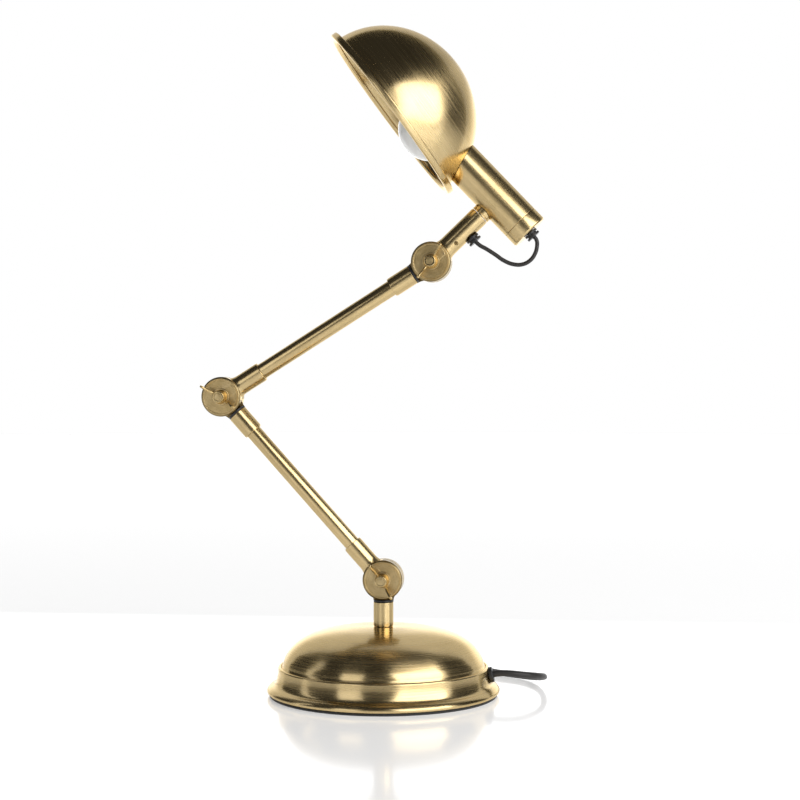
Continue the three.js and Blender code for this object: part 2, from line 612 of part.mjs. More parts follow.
// The envelope's outline from its foot to its crown, moved in from its outside by an inset.
function bulbProfile(inset) {
  const profile = [
    [6.4 - inset, BULB_FOOT], [6.6 - inset, 48], [8.6 - inset, 53.4 + inset / 2],
    [13.2 - inset / 2, 58.6 + inset / 2],
  ];
  const steps = 8;
  const startAngle = -radians(46);
  for (let step = 0; step <= steps; step += 1) {
    const angle = startAngle + (step / steps) * (Math.PI / 2 - startAngle);
    const radius = step === steps ? 0 : (BULB_RADIUS - inset) * Math.cos(angle);
    profile.push([radius, BULB_CENTRE + (BULB_RADIUS - inset) * Math.sin(angle)]);
  }
  return profile;
}

function addBulb(head) {
  const envelope = turned([...bulbProfile(0), ...bulbProfile(BULB_WALL).reverse()], 24);
  addPart(head, 'bulb_glass', carve([onBarrelAxis(envelope)]), OPAL);
  addPart(head, 'bulb_cap', onBarrelAxis(turned([
    [0, BULB_CAP_TIP], [2.4, BULB_CAP_TIP], [2.4, BULB_CAP_TIP + 1.6], [6.2, BULB_CAP_TIP + 3.4],
    [BULB_CAP_RADIUS, BULB_CAP_TIP + 4.4], [BULB_CAP_RADIUS, BULB_FOOT - GAP], [0, BULB_FOOT - GAP],
  ], 20)), STEEL);
}

// ---- Cord ----

function roundedRectangle(halfLength, halfWidth, corner) {
  return [
    [-halfLength + corner, -halfWidth], [halfLength - corner, -halfWidth],
    [halfLength, -halfWidth + corner], [halfLength, halfWidth - corner],
    [halfLength - corner, halfWidth], [-halfLength + corner, halfWidth],
    [-halfLength, halfWidth - corner], [-halfLength, -halfWidth + corner],
  ];
}

function addSwitch(lamp) {
  const housing = new THREE.Group();
  housing.position.set(SWITCH_CENTRE[0], SWITCH_CENTRE[1], 0);
  lamp.add(housing);
  const outline = roundedRectangle(SWITCH_LENGTH / 2, SWITCH_WIDTH / 2, 5);
  addPart(housing, 'switch_base', plate(outline, 0, SWITCH_SPLIT), PLASTIC);
  const shell = plate(outline, SWITCH_SPLIT + GAP, SWITCH_HEIGHT);
  const pocket = box([-7.4, -4.8, 9.4], [7.4, 4.8, SWITCH_HEIGHT + 1]);
  addPart(housing, 'switch_cover', carve([shell], [pocket]), PLASTIC);
  const rockerOutline = [[-6.1, -1.5], [6.1, -1.5], [6.1, 3], [3.4, 4], [-3.4, 4], [-6.1, 3]];
  const rocker = addPart(housing, 'switch_rocker',
    plate(rockerOutline, -4.3, 4.3).rotateX(Math.PI / 2), PLASTIC);
  rocker.position.z = ROCKER_PIVOT_HEIGHT;
  rocker.rotation.y = -radians(ROCKER_REST_TILT);
}

function addCoil(lamp) {
  const coil = new THREE.Group();
  coil.position.set(COIL_CENTRE[0], COIL_CENTRE[1], 0);
  lamp.add(coil);
  addPart(coil, 'cord_coil',
    alongZ(ring(COIL_INNER_RADIUS, COIL_OUTER_RADIUS, COIL_BOTTOM, COIL_TOP, 32)), FLEX_SHEATH);
  const inner = COIL_INNER_RADIUS - 0.7;
  const outer = COIL_OUTER_RADIUS + GAP;
  const window = box([inner, -TIE_WIDTH, TIE_THICKNESS], [outer, TIE_WIDTH, COIL_TOP + GAP]);
  const band = box([inner - TIE_THICKNESS, -TIE_WIDTH / 2, 0],
    [outer + TIE_THICKNESS, TIE_WIDTH / 2, COIL_TOP + GAP + TIE_THICKNESS]);
  addPart(coil, 'coil_tie', carve([band], [window]), RUBBER);
}

function addPlug(lamp) {
  const plug = new THREE.Group();
  plug.position.set(PLUG_PLACE[0], PLUG_PLACE[1], 0);
  lamp.add(plug);
  const middle = PLUG_THICKNESS / 2;
  const relief = alongX(turned([
    [0, 0], [3.5, 0], [5.4, PLUG_RELIEF_LENGTH], [5.4, PLUG_RELIEF_LENGTH + 4],
    [0, PLUG_RELIEF_LENGTH + 4],
  ], 16)).translate(0, 0, middle);
  const back = PLUG_RELIEF_LENGTH;
  const face = back + PLUG_BODY_LENGTH;
  const body = plate([
    [back, -7], [back + 9, -12], [back + 22, -PLUG_HALF_WIDTH], [face, -PLUG_HALF_WIDTH],
    [face, PLUG_HALF_WIDTH], [back + 22, PLUG_HALF_WIDTH], [back + 9, 12], [back, 7],
  ], 0, PLUG_THICKNESS);
  addPart(plug, 'plug_body', carve([relief, body]), PLASTIC);
  for (const [name, side] of [['plug_pin_left', -1], ['plug_pin_right', 1]]) {
    const pin = alongX(rod(PIN_RADIUS, face + GAP, face + PIN_LENGTH, 12));
    addPart(plug, name, pin.translate(0, (side * PIN_SPACING) / 2, middle), STEEL);
  }
}

function addCord(lamp) {
  addPart(lamp, 'cord_from_base', cord(CORD_FROM_GLAND, CORD_RADIUS, 28), FLEX_SHEATH);
  addSwitch(lamp);
  addPart(lamp, 'cord_to_coil', cord(CORD_TO_COIL, CORD_RADIUS, 12), FLEX_SHEATH);
  addCoil(lamp);
  addPart(lamp, 'cord_to_plug', cord(CORD_TO_PLUG, CORD_RADIUS, 10), FLEX_SHEATH);
  addPlug(lamp);
}

// ---- The lamp ----

const lamp = new THREE.Group();
addBase(lamp);
addPost(lamp);

const armRoot = new THREE.Group();
armRoot.position.z = BASE_PIVOT_HEIGHT;
lamp.add(armRoot);

const lowerArm = addLink(armRoot, 0, LOWER_ARM_ANGLE);
addArm(lowerArm, LOWER_ARM_LENGTH, 'lower_arm');
addKnuckleFittings(lowerArm, LOWER_ARM_LENGTH, LOWER_ARM_ANGLE, 'elbow');

const upperArm = addLink(lowerArm, LOWER_ARM_LENGTH, UPPER_ARM_ANGLE, LOWER_ARM_ANGLE);
addArm(upperArm, UPPER_ARM_LENGTH, 'upper_arm');
addKnuckleFittings(upperArm, UPPER_ARM_LENGTH, UPPER_ARM_ANGLE, 'head');

const head = addLink(upperArm, UPPER_ARM_LENGTH, HEAD_ANGLE, UPPER_ARM_ANGLE);
addStem(head);
addBarrel(head);
addPart(head, 'shade', shadeGeometry(), BRASS);
addBulb(head);
addCord(lamp);

export default lamp;
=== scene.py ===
"""Swing arm desk lamp, finished in brass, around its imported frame."""
import json
import math

import bmesh
import bpy
from bpy.props import FloatProperty, FloatVectorProperty, PointerProperty
from bpy.types import Operator, Panel, PropertyGroup
from mathutils import Matrix, Vector


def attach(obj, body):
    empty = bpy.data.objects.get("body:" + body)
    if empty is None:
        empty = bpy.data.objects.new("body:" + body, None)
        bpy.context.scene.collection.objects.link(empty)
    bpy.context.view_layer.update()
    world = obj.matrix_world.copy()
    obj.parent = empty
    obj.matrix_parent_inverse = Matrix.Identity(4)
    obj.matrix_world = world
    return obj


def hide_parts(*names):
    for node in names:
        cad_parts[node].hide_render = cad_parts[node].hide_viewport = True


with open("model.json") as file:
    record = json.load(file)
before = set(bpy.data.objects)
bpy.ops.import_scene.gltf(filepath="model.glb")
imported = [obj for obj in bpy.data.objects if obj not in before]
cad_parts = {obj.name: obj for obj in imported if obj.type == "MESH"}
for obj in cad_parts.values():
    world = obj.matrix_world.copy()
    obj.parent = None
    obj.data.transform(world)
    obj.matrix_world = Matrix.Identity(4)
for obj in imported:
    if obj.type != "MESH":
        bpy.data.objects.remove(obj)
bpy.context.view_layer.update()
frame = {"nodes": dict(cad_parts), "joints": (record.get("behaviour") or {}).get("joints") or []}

bl_info = {
    "name": "Swing Arm Desk Lamp",
    "version": (1, 0, 0),
    "blender": (4, 5, 0),
    "location": "3D View > Sidebar > Desk Lamp",
    "description": "Finishes the pieces of a brass swing arm desk lamp",
    "category": "Add Mesh",
}

# ---- Places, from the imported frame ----

MM = 0.001
JOINTS = {joint["name"]: joint for joint in frame["joints"]}
BASE_PIVOT = Vector(JOINTS["base_knuckle"]["pos_m"])
ELBOW_PIVOT = Vector(JOINTS["elbow"]["pos_m"])
HEAD_PIVOT = Vector(JOINTS["head_knuckle"]["pos_m"])
BARREL_AXIS = Vector(JOINTS["bulb_unscrew"]["axis"])
LOWER_ARM_LENGTH = (ELBOW_PIVOT - BASE_PIVOT).length / MM
UPPER_ARM_LENGTH = (HEAD_PIVOT - ELBOW_PIVOT).length / MM


def shift(x=0.0, y=0.0, z=0.0):
    return Matrix.Translation((x, y, z))


def turn(degrees, axis):
    return Matrix.Rotation(math.radians(degrees), 4, axis)


def link_frame(pivot, direction):
    """A link's own frame in millimetres: X along the link, Y the hinge axis."""
    angle = math.atan2(direction.z, direction.x)
    return Matrix.Translation(pivot) @ Matrix.Rotation(-angle, 4, "Y") @ Matrix.Scale(MM, 4)


ROW = Matrix.Scale(MM, 4)
POST = link_frame(BASE_PIVOT, Vector((0, 0, 1)))
LOWER_ARM = link_frame(BASE_PIVOT, ELBOW_PIVOT - BASE_PIVOT)
UPPER_ARM = link_frame(ELBOW_PIVOT, HEAD_PIVOT - ELBOW_PIVOT)
HEAD = link_frame(HEAD_PIVOT, Vector((BARREL_AXIS.z, 0, -BARREL_AXIS.x)))

ALONG_X = turn(90, "Y")
ALONG_FRONT = turn(90, "X")
UPSIDE_DOWN = turn(180, "X")
REAR = turn(180, "Z")

BARREL_REACH = 78.2
BARREL = HEAD @ shift(x=BARREL_REACH)
SHADE = BARREL @ turn(3.3, "Z") @ shift(60.6 - BARREL_REACH, 0, 116.2) @ turn(-173.3, "Y") @ ALONG_X
SHADE_IN_BARREL = BARREL.inverted() @ SHADE
GLAND_WAY = shift(91.5, 0, 18) @ turn(-13, "Y") @ ALONG_X

ELBOW = LOWER_ARM @ shift(x=LOWER_ARM_LENGTH)
HEAD_KNUCKLE = UPPER_ARM @ shift(x=UPPER_ARM_LENGTH)
# The three knuckles: joint, place, body of the fixed half, and turn of the wing nut.
KNUCKLES = (
    ("base", POST, "root", 146.8),
    ("elbow", ELBOW, "lower_arm", 164.3),
    ("head", HEAD_KNUCKLE, "upper_arm", -22.6),
)

# ---- Cord routes, in millimetres ----

CORD_TO_SWITCH = (
    (93.6, 0, 18.5), (95.8, 0, 19.0), (99.6, 0, 19.7), (104, 0, 19.9), (110, 0.1, 19.7),
    (116, 0.9, 19.1), (122, 3.2, 18.2), (127.6, 7.4, 17.1), (132.3, 13.4, 15.7), (135.8, 21.2, 14.1),
    (137.8, 30.5, 12.3), (138.2, 41, 10.2), (136.8, 52, 7.9), (133.2, 63, 5.7), (127.2, 73.2, 4.0),
    (119, 82.2, 3.1), (109, 90, 2.85), (98, 97.2, 2.85), (88, 104.2, 3.2), (80, 109.8, 4.5),
    (73, 113.2, 6.0), (66.7, 114, 6.5), (52, 114, 6.5), (36, 114, 6.5), (20, 114, 6.5),
)
CORD_TO_COIL = (
    (5.3, 114, 6.5), (-1, 113.9, 6.0), (-8, 113.8, 4.3), (-16, 114.1, 3.2), (-26, 115.3, 2.9),
    (-37, 118.6, 2.9), (-47.5, 124.3, 3.0), (-57, 132.6, 3.4), (-64.9, 143.5, 3.9), (-68.8, 157, 4.0),
)
CORD_TO_PLUG = (
    (-66.7, 179.5, 9.7), (-66.7, 187, 9.6), (-66.7, 194, 8.4), (-66.7, 201, 6.5), (-66.3, 208, 4.8),
    (-63.9, 216.5, 3.4), (-58.7, 225, 2.9), (-51, 231.6, 3.1), (-42, 235.2, 4.6), (-34.5, 236, 6.4),
    (-27.5, 236, 6.85), (-16, 236, 6.85),
)
COIL_CENTRE = (-30.0, 172.0)
COIL_BOTTOM_TURNS = (39.55, 33.85, 28.15, 22.45)
COIL_TOP_TURNS = (25.3, 31.0, 36.7)
COIL_BOTTOM_HEIGHT = 4.0
COIL_TOP_HEIGHT = 8.94
COIL_CROSSING_HEIGHT = 9.7
HEAD_FLEX_ROUTE = (
    (39.4, 0, -12.4), (39.4, 0, -14.4), (39.7, 0, -18.2), (41.6, 0, -24.5), (43.7, 0, -33.3),
    (45.7, 0, -42.9), (49.5, 0, -50.8), (55.1, 0, -56.0), (61.8, 0, -57.9), (68.6, 0, -56.7),
    (74.4, 0, -53.2), (77.6, 0, -49.4), (78.2, 0, -46.3), (78.2, 0, -44.2),
)


def ease(part):
    """0 to 1 with a level start and end."""
    part = min(1.0, max(0.0, part))
    return part * part * (3 - 2 * part)


def coil_lap(radius, next_radius, level, arriving, leaving):
    """One turn of the coil: it settles to its level, then rises where it crosses the turns below."""
    points = []
    for step in range(18):
        angle = math.radians(180 - step * 20)
        height = arriving + (level - arriving) * ease(step / 3) + (leaving - level) * ease((step - 9) / 4)
        reach = radius + (next_radius - radius) * ease((step - 13) / 5)
        points.append((COIL_CENTRE[0] + reach * math.cos(angle),
                       COIL_CENTRE[1] + reach * math.sin(angle), height))
    return points


def coil_route():
    """Four turns inwards on the surface, then three outwards in the grooves on top of them."""
    low, high, crossing = COIL_BOTTOM_HEIGHT, COIL_TOP_HEIGHT, COIL_CROSSING_HEIGHT
    inwards = COIL_BOTTOM_TURNS[1:] + (COIL_TOP_TURNS[0],)
    outwards = COIL_TOP_TURNS[1:] + (COIL_TOP_TURNS[-1],)
    points = []
    for radius, next_radius in zip(COIL_BOTTOM_TURNS, inwards):
        leaving = crossing if radius == COIL_BOTTOM_TURNS[-1] else low
        points += coil_lap(radius, next_radius, low, low, leaving)
    for radius, next_radius in zip(COIL_TOP_TURNS, outwards):
        points += coil_lap(radius, next_radius, high, crossing, crossing)
    points.append((COIL_CENTRE[0] - COIL_TOP_TURNS[-1], COIL_CENTRE[1], crossing))
    return points


# ---- Properties ----


def length_setting(name, description, default, low, high):
    return FloatProperty(
        name=name, description=description, default=default, min=low, max=high, unit="LENGTH")


def colour_setting(name, description, default):
    return FloatVectorProperty(
        name=name, description=description, default=default, min=0, max=1, subtype="COLOR")


def power_setting(name, description, default):
    return FloatProperty(name=name, description=description, default=default, min=0, subtype="POWER")


class LampSizes(PropertyGroup):
    """Sizes that can be changed without moving a joint."""
    wing_thickness: length_setting("Wing Thickness", "Thickness of a wing nut's wings", 0.0018, 0.001, 0.003)
    lip_roll: length_setting(
        "Lip Roll", "Radius of the rolled edge on the shade's lip", 0.0021, 0.0005, 0.0028)
    disc_chamfer: length_setting(
        "Disc Chamfer", "Width of the turned chamfer round each knuckle disc", 0.0013, 0.0004, 0.003)
    cord_diameter: length_setting("Cord Diameter", "Diameter of the mains cord", 0.0056, 0.005, 0.0056)
    flex_diameter: length_setting(
        "Flex Diameter", "Diameter of the thin flex at the head", 0.0036, 0.003, 0.0036)


class LampFinishes(PropertyGroup):
    """Colours of the lamp's materials."""
    brass_light: colour_setting("Brass, Rubbed", "Brass where it is rubbed bright", (0.785, 0.61, 0.325))
    brass_dark: colour_setting(
        "Brass, Toned", "Brass in the brushed grooves and toned patches", (0.46, 0.325, 0.13))
    dull_brass: colour_setting("Brass, Dull", "Head of the grub screw", (0.42, 0.30, 0.13))
    steel: colour_setting("Steel", "Plated screws, plate and lamp cap", (0.56, 0.56, 0.54))
    nickel: colour_setting("Nickel", "Pins of the plug", (0.66, 0.64, 0.6))
    iron: colour_setting("Iron", "Lacquered base weight", (0.03, 0.03, 0.03))
    black: colour_setting("Black Plastic", "Glands, holder, switch and plug", (0.011, 0.011, 0.012))
    sheath: colour_setting("Cord Sheath", "Sheath of the cords", (0.014, 0.012, 0.011))
    rubber: colour_setting("Rubber", "Base pad and coil tie", (0.012, 0.012, 0.012))
    fibre: colour_setting("Fibre", "Friction washers in the knuckles", (0.03, 0.024, 0.02))
    opal: colour_setting("Opal Glass", "White glass of the bulb", (0.82, 0.82, 0.79))


class StudioSettings(PropertyGroup):
    """Camera, floor and lights."""
    camera_place: FloatVectorProperty(
        name="Camera Place", description="Where the camera stands",
        subtype="XYZ", unit="LENGTH", default=(0.171, -1.490, 0.283))
    camera_aim: FloatVectorProperty(
        name="Camera Aim", description="The direction that the camera looks in",
        subtype="DIRECTION", default=(-0.1045, 0.9945, -0.0185))
    focal_length: FloatProperty(
        name="Focal Length", description="Focal length in millimetres on a 36 mm sensor",
        default=77.94, min=20, max=200)
    floor: colour_setting("Floor", "Colour of the floor", (0.93, 0.93, 0.93))
    right_power: power_setting("Right Light", "Power of the large soft light at the right", 30.0)
    left_power: power_setting("Left Light", "Power of the narrow soft light at the left", 3.0)
    strip_power: power_setting("Strip Lights", "Power of each narrow light at the sides", 0.6)
    card_power: power_setting("Back Card", "Power of the pale card behind the lamp", 3.3)


# ---- Shaping ----


def eased(profile, steps=5):
    """A profile whose corners with a third number are rounded off by that much."""
    points = []
    for place, corner in enumerate(profile):
        here = Vector(corner[:2])
        if len(corner) == 2:
            points.append(here)
            continue
        before = Vector(profile[place - 1][:2])
        after = Vector(profile[(place + 1) % len(profile)][:2])
        start = here + (before - here).normalized() * min(corner[2], (before - here).length * 0.49)
        end = here + (after - here).normalized() * min(corner[2], (after - here).length * 0.49)
        for step in range(steps + 1):
            part = step / steps
            points.append(start * (1 - part) ** 2 + here * 2 * part * (1 - part) + end * part ** 2)
    return points


def flowing(points, steps=6):
    """A smooth line through the points, with even steps between each two."""
    line = [Vector(point) for point in points]
    line = [line[0] * 2 - line[1]] + line + [line[-1] * 2 - line[-2]]
    smooth = []
    for before, start, end, after in zip(line, line[1:], line[2:], line[3:]):
        for step in range(steps):
            part = step / steps
            smooth.append(0.5 * (2 * start + (end - before) * part
                                 + (2 * before - 5 * start + 4 * end - after) * part ** 2
                                 + (3 * start - before - 3 * end + after) * part ** 3))
    smooth.append(line[-2])
    return smooth


def settle(shape):
    """Closes seams and poles and turns every face outwards."""
    bmesh.ops.remove_doubles(shape, verts=shape.verts[:], dist=2e-4)
    loose = [edge for edge in shape.edges if not edge.link_faces]
    bmesh.ops.delete(shape, geom=loose, context="EDGES")
    bmesh.ops.recalc_face_normals(shape, faces=shape.faces[:])
    return shape


def turned(profile, steps=96):
    """A shape spun about Z from a profile of [radius, height] points."""
    shape = bmesh.new()
    corners = [shape.verts.new((point[0], 0, point[1])) for point in profile]
    edges = [shape.edges.new(pair) for pair in zip(corners, corners[1:])]
    if profile[0][0] > 0 or profile[-1][0] > 0:
        edges.append(shape.edges.new((corners[-1], corners[0])))
    bmesh.ops.spin(shape, geom=corners + edges, cent=(0, 0, 0), axis=(0, 0, 1), dvec=(0, 0, 0),
                   angle=2 * math.pi, steps=steps, use_merge=True, use_duplicate=False)
    return settle(shape)


def rod(radius, low, high, steps=48):
    return turned([(0, low), (radius, low), (radius, high), (0, high)], steps)


def rounded_rod(radius, low, high, rounding, steps=64):
    return turned(eased([(0, low), (radius, low, rounding), (radius, high, rounding), (0, high)]), steps)


def ring(inner, outer, low, high, rounding=0.2, steps=96):
    return turned(eased([(inner, low, rounding), (outer, low, rounding),
                         (outer, high, rounding), (inner, high, rounding)]), steps)


def block(low, high):
    shape = bmesh.new()
    bmesh.ops.create_cube(shape, size=1)
    size = Vector(high) - Vector(low)
    middle = (Vector(high) + Vector(low)) / 2
    bmesh.ops.scale(shape, vec=size, verts=shape.verts[:])
    bmesh.ops.translate(shape, vec=middle, verts=shape.verts[:])
    return shape


def plate(outline, low, high):
    """A flat outline of [x, y] points, drawn up from one height to another."""
    shape = bmesh.new()
    face = shape.faces.new([shape.verts.new((x, y, low)) for x, y in outline])
    drawn = bmesh.ops.extrude_face_region(shape, geom=[face])
    top = [item for item in drawn["geom"] if isinstance(item, bmesh.types.BMVert)]
    bmesh.ops.translate(shape, vec=(0, 0, high - low), verts=top)
    bmesh.ops.recalc_face_normals(shape, faces=shape.faces[:])
    return shape


def soften(shape, width, segments=3, above=35.0):
    """Rounds the edges where faces meet at more than the given angle."""
    limit = math.radians(above)
    sharp = [edge for edge in shape.edges if len(edge.link_faces) == 2 and edge.calc_face_angle(0) > limit]
    bmesh.ops.bevel(shape, geom=sharp, offset=width, segments=segments, profile=0.5,
                    affect="EDGES", material=-1, clamp_overlap=True)
    return shape


def placed(shape, place):
    bmesh.ops.transform(shape, matrix=place, verts=shape.verts[:])
    return shape


def half_space(shape, point, outwards):
    """Cuts a shape off at a plane and closes the cut."""
    geometry = shape.verts[:] + shape.edges[:] + shape.faces[:]
    cut = bmesh.ops.bisect_plane(shape, geom=geometry, plane_co=point, plane_no=outwards,
                                 clear_outer=True, dist=1e-4)
    edges = [item for item in cut["geom_cut"] if isinstance(item, bmesh.types.BMEdge)]
    bmesh.ops.holes_fill(shape, edges=edges)
    bmesh.ops.recalc_face_normals(shape, faces=shape.faces[:])
    return shape


def mesh_of(name, shape):
    """A smooth mesh from a shape, which is used up."""
    mesh = bpy.data.meshes.new(name)
    shape.to_mesh(mesh)
    shape.free()
    for face in mesh.polygons:
        face.use_smooth = True
    return mesh


def joined(shapes, cuts=(), kept=()):
    """One closed shape from overlapping ones, less the cuts, and only where kept reaches."""
    helpers = [loose_object("joined", mesh_of("joined", shape)) for shape in (*shapes, *cuts, *kept)]
    operations = ["UNION"] * (len(shapes) - 1) + ["DIFFERENCE"] * len(cuts) + ["INTERSECT"] * len(kept)
    for operation, helper in zip(operations, helpers[1:]):
        modifier = helpers[0].modifiers.new("join", "BOOLEAN")
        modifier.operation = operation
        modifier.solver = "MANIFOLD"
        modifier.object = helper
    result = bmesh.new()
    result.from_object(helpers[0], bpy.context.evaluated_depsgraph_get())
    for helper in helpers:
        bpy.data.meshes.remove(helper.data)
    bmesh.ops.remove_doubles(result, verts=result.verts[:], dist=1e-3)
    bmesh.ops.dissolve_degenerate(result, dist=1e-3, edges=result.edges[:])
    return result


def loose_object(name, data):
    thing = bpy.data.objects.new(name, data)
    bpy.context.scene.collection.objects.link(thing)
    return thing


def riding(piece, finish, body, nodes):
    """Gives a piece its material, its body and the nodes it stands for."""
    piece.data.materials.append(finish)
    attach(piece, body)
    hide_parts(*nodes)
    return piece


def finished(node, shape, place, finish, body, crease=34.0, even=False):
    """Puts a shape in its place in metres, as the piece that stands for a node."""
    piece = loose_object(node.title(), mesh_of(node.title(), placed(shape, place)))
    piece.data.set_sharp_from_angle(angle=math.radians(crease))
    if even:
        weighted = piece.modifiers.new("even_normals", "WEIGHTED_NORMAL")
        weighted.keep_sharp = True
        weighted.weight = 90
    return riding(piece, finish, body, (node,))


def tube_piece(name, route, diameter, place, finish, body, nodes):
    """A round cord along a smooth route of points in millimetres."""
    curve = bpy.data.curves.new(name, "CURVE")
    curve.dimensions = "3D"
    curve.bevel_depth = diameter / 2
    curve.bevel_resolution = 5
    curve.resolution_u = 5
    curve.use_fill_caps = True
    spline = curve.splines.new("BEZIER")
    spline.bezier_points.add(len(route) - 1)
    for bezier, point in zip(spline.bezier_points, route):
        bezier.co = place @ Vector(point)
        bezier.handle_left_type = "AUTO"
        bezier.handle_right_type = "AUTO"
    return riding(loose_object(name, curve), finish, body, nodes)


# ---- Shader groups ----


def fill(node, feeds):
    """Links or sets a node's inputs, by name or by number."""
    for key, value in feeds.items():
        if isinstance(value, bpy.types.NodeSocket):
            node.id_data.links.new(value, node.inputs[key])
        else:
            node.inputs[key].default_value = value


def add_node(tree, kind, feeds=None, **settings):
    node = tree.nodes.new(kind)
    for name, value in settings.items():
        setattr(node, name, value)
    fill(node, feeds or {})
    return node


def work_out(tree, operation, *values, clamp=False):
    """A Math node fed by sockets or numbers; returns its result."""
    feeds = dict(enumerate(values))
    return add_node(tree, "ShaderNodeMath", feeds, operation=operation, use_clamp=clamp).outputs[0]


def work_out_vector(tree, operation, feeds, output="Vector"):
    return add_node(tree, "ShaderNodeVectorMath", feeds, operation=operation).outputs[output]


def spread(tree, value, low, high, to_low=0.0, to_high=1.0):
    """A Map Range node from one span to another; returns its result."""
    return add_node(tree, "ShaderNodeMapRange", {
        "Value": value, "From Min": low, "From Max": high, "To Min": to_low, "To Max": to_high}).outputs[0]


def blended(tree, factor, first, second):
    """A colour between two; returns the Mix node's result."""
    first, second = (value if isinstance(value, bpy.types.NodeSocket) else (*value[:3], 1)
                     for value in (first, second))
    return add_node(tree, "ShaderNodeMix", {0: factor, 6: first, 7: second}, data_type="RGBA").outputs[2]


def noise(tree, vector, scale, detail, roughness, **settings):
    return add_node(tree, "ShaderNodeTexNoise", {
        "Vector": vector, "Scale": scale, "Detail": detail, "Roughness": roughness}, **settings)


def shader_group(name, numbers, outputs):
    """An empty node group fed by a vector and numbers; returns it with its input and output sockets."""
    tree = bpy.data.node_groups.new(name, "ShaderNodeTree")
    tree.interface.new_socket(name="Vector", in_out="INPUT", socket_type="NodeSocketVector")
    for socket, default in numbers.items():
        made = tree.interface.new_socket(name=socket, in_out="INPUT", socket_type="NodeSocketFloat")
        made.default_value = default
    for socket in outputs:
        tree.interface.new_socket(name=socket, in_out="OUTPUT", socket_type="NodeSocketFloat")
    return tree, add_node(tree, "NodeGroupInput").outputs, add_node(tree, "NodeGroupOutput")


def turned_marks_group(name):
    """Fine rings left by turning or by brushing round the pattern's Z axis."""
    tree, given, result = shader_group(name, {"Fineness": 900.0, "Broken": 3.0}, ("Marks", "Bands"))
    parts = add_node(tree, "ShaderNodeSeparateXYZ", {0: given["Vector"]}).outputs
    level = add_node(tree, "ShaderNodeCombineXYZ", {0: parts[0], 1: parts[1]}).outputs[0]
    reach = work_out_vector(tree, "LENGTH", {0: level}, "Value")
    facing = work_out_vector(tree, "NORMALIZE", {0: level})
    around = add_node(tree, "ShaderNodeSeparateXYZ", {0: facing}).outputs
    for output, share in (("Marks", 1.0), ("Bands", 0.16)):
        fineness = work_out(tree, "MULTIPLY", given["Fineness"], share)
        track = add_node(tree, "ShaderNodeCombineXYZ", {
            0: work_out(tree, "MULTIPLY", reach, fineness),
            1: work_out(tree, "MULTIPLY", around[0], given["Broken"]),
            2: work_out(tree, "MULTIPLY", around[1], given["Broken"])}).outputs[0]
        grain = noise(tree, track, 1.0, 2.0, 0.6, noise_dimensions="4D")
        fill(grain, {"W": work_out(tree, "MULTIPLY", parts[2], fineness)})
        fill(result, {output: grain.outputs[0]})
    return tree


def drawn_marks_group(name):
    """Fine lines left by drawing or brushing along the pattern's Z axis."""
    tree, given, result = shader_group(name, {"Fineness": 900.0, "Broken": 3.0}, ("Marks", "Bands"))
    for output, share in (("Marks", 1.0), ("Bands", 0.2)):
        fineness = work_out(tree, "MULTIPLY", given["Fineness"], share)
        scale = add_node(tree, "ShaderNodeCombineXYZ", {
            0: fineness, 1: fineness, 2: work_out(tree, "MULTIPLY", given["Broken"], 10.0)}).outputs[0]
        track = work_out_vector(tree, "MULTIPLY", {0: given["Vector"], 1: scale})
        fill(result, {output: noise(tree, track, 1.0, 2.0, 0.6).outputs[0]})
    return tree


def toned_group(name):
    """Uneven toning and small specks in an antiqued finish."""
    tree, given, result = shader_group(name, {"Patches": 30.0}, ("Cloud", "Specks"))
    patches = work_out_vector(tree, "SCALE", {0: given["Vector"], "Scale": given["Patches"]})
    fill(result, {
        "Cloud": spread(tree, noise(tree, patches, 1.0, 4.0, 0.6).outputs[0], 0.3, 0.7),
        "Specks": spread(tree, noise(tree, given["Vector"], 1400.0, 2.0, 0.7).outputs[0], 0.58, 0.74)})
    return tree


def moulded_skin_group(name):
    """The fine skin of moulded plastic and rubber, with a little dust and handling."""
    tree, given, result = shader_group(name, {"Grain": 2500.0}, ("Height", "Wear"))
    grained = work_out_vector(tree, "SCALE", {0: given["Vector"], "Scale": given["Grain"]})
    fill(result, {
        "Height": noise(tree, grained, 1.0, 3.0, 0.6).outputs[0],
        "Wear": spread(tree, noise(tree, given["Vector"], 90.0, 5.0, 0.65).outputs[0], 0.35, 0.7)})
    return tree


GROUP_MAKERS = {
    "Turned Marks": turned_marks_group, "Drawn Marks": drawn_marks_group,
    "Antique Toning": toned_group, "Moulded Skin": moulded_skin_group,
}


def coordinates(tree, place=None):
    """Object coordinates, seen from a pattern's own place."""
    source = add_node(tree, "ShaderNodeTexCoord").outputs["Object"]
    if place is None:
        return source
    return add_node(tree, "ShaderNodeMapping", {
        "Vector": source, "Location": place.translation, "Rotation": place.to_euler("XYZ")},
        vector_type="TEXTURE").outputs[0]


def pattern(tree, group, place=None, **numbers):
    """One of the shader groups, fed with the pattern's coordinates; returns its outputs."""
    vector = coordinates(tree, place)
    made = bpy.data.node_groups.get(group) or GROUP_MAKERS[group](group)
    return add_node(tree, "ShaderNodeGroup", {"Vector": vector, **numbers}, node_tree=made).outputs


# ---- Materials ----


def new_material(name):
    """A node material with its Principled shader, ready to be fed; returns both."""
    material = bpy.data.materials.new(name)
    material.use_nodes = True
    return material, material.node_tree.nodes["Principled BSDF"]


def brushed_tangent(tree, place):
    """The direction round the pattern's Z axis, for the stretch of the highlights."""
    axis = (place.to_3x3() @ Vector((0, 0, 1))).normalized()
    arm = work_out_vector(tree, "SUBTRACT", {0: coordinates(tree), 1: tuple(place.translation)})
    across = work_out_vector(tree, "CROSS_PRODUCT", {0: tuple(axis), 1: arm})
    return add_node(tree, "ShaderNodeVectorTransform", {0: across}, vector_type="VECTOR",
                    convert_from="OBJECT", convert_to="WORLD").outputs[0]


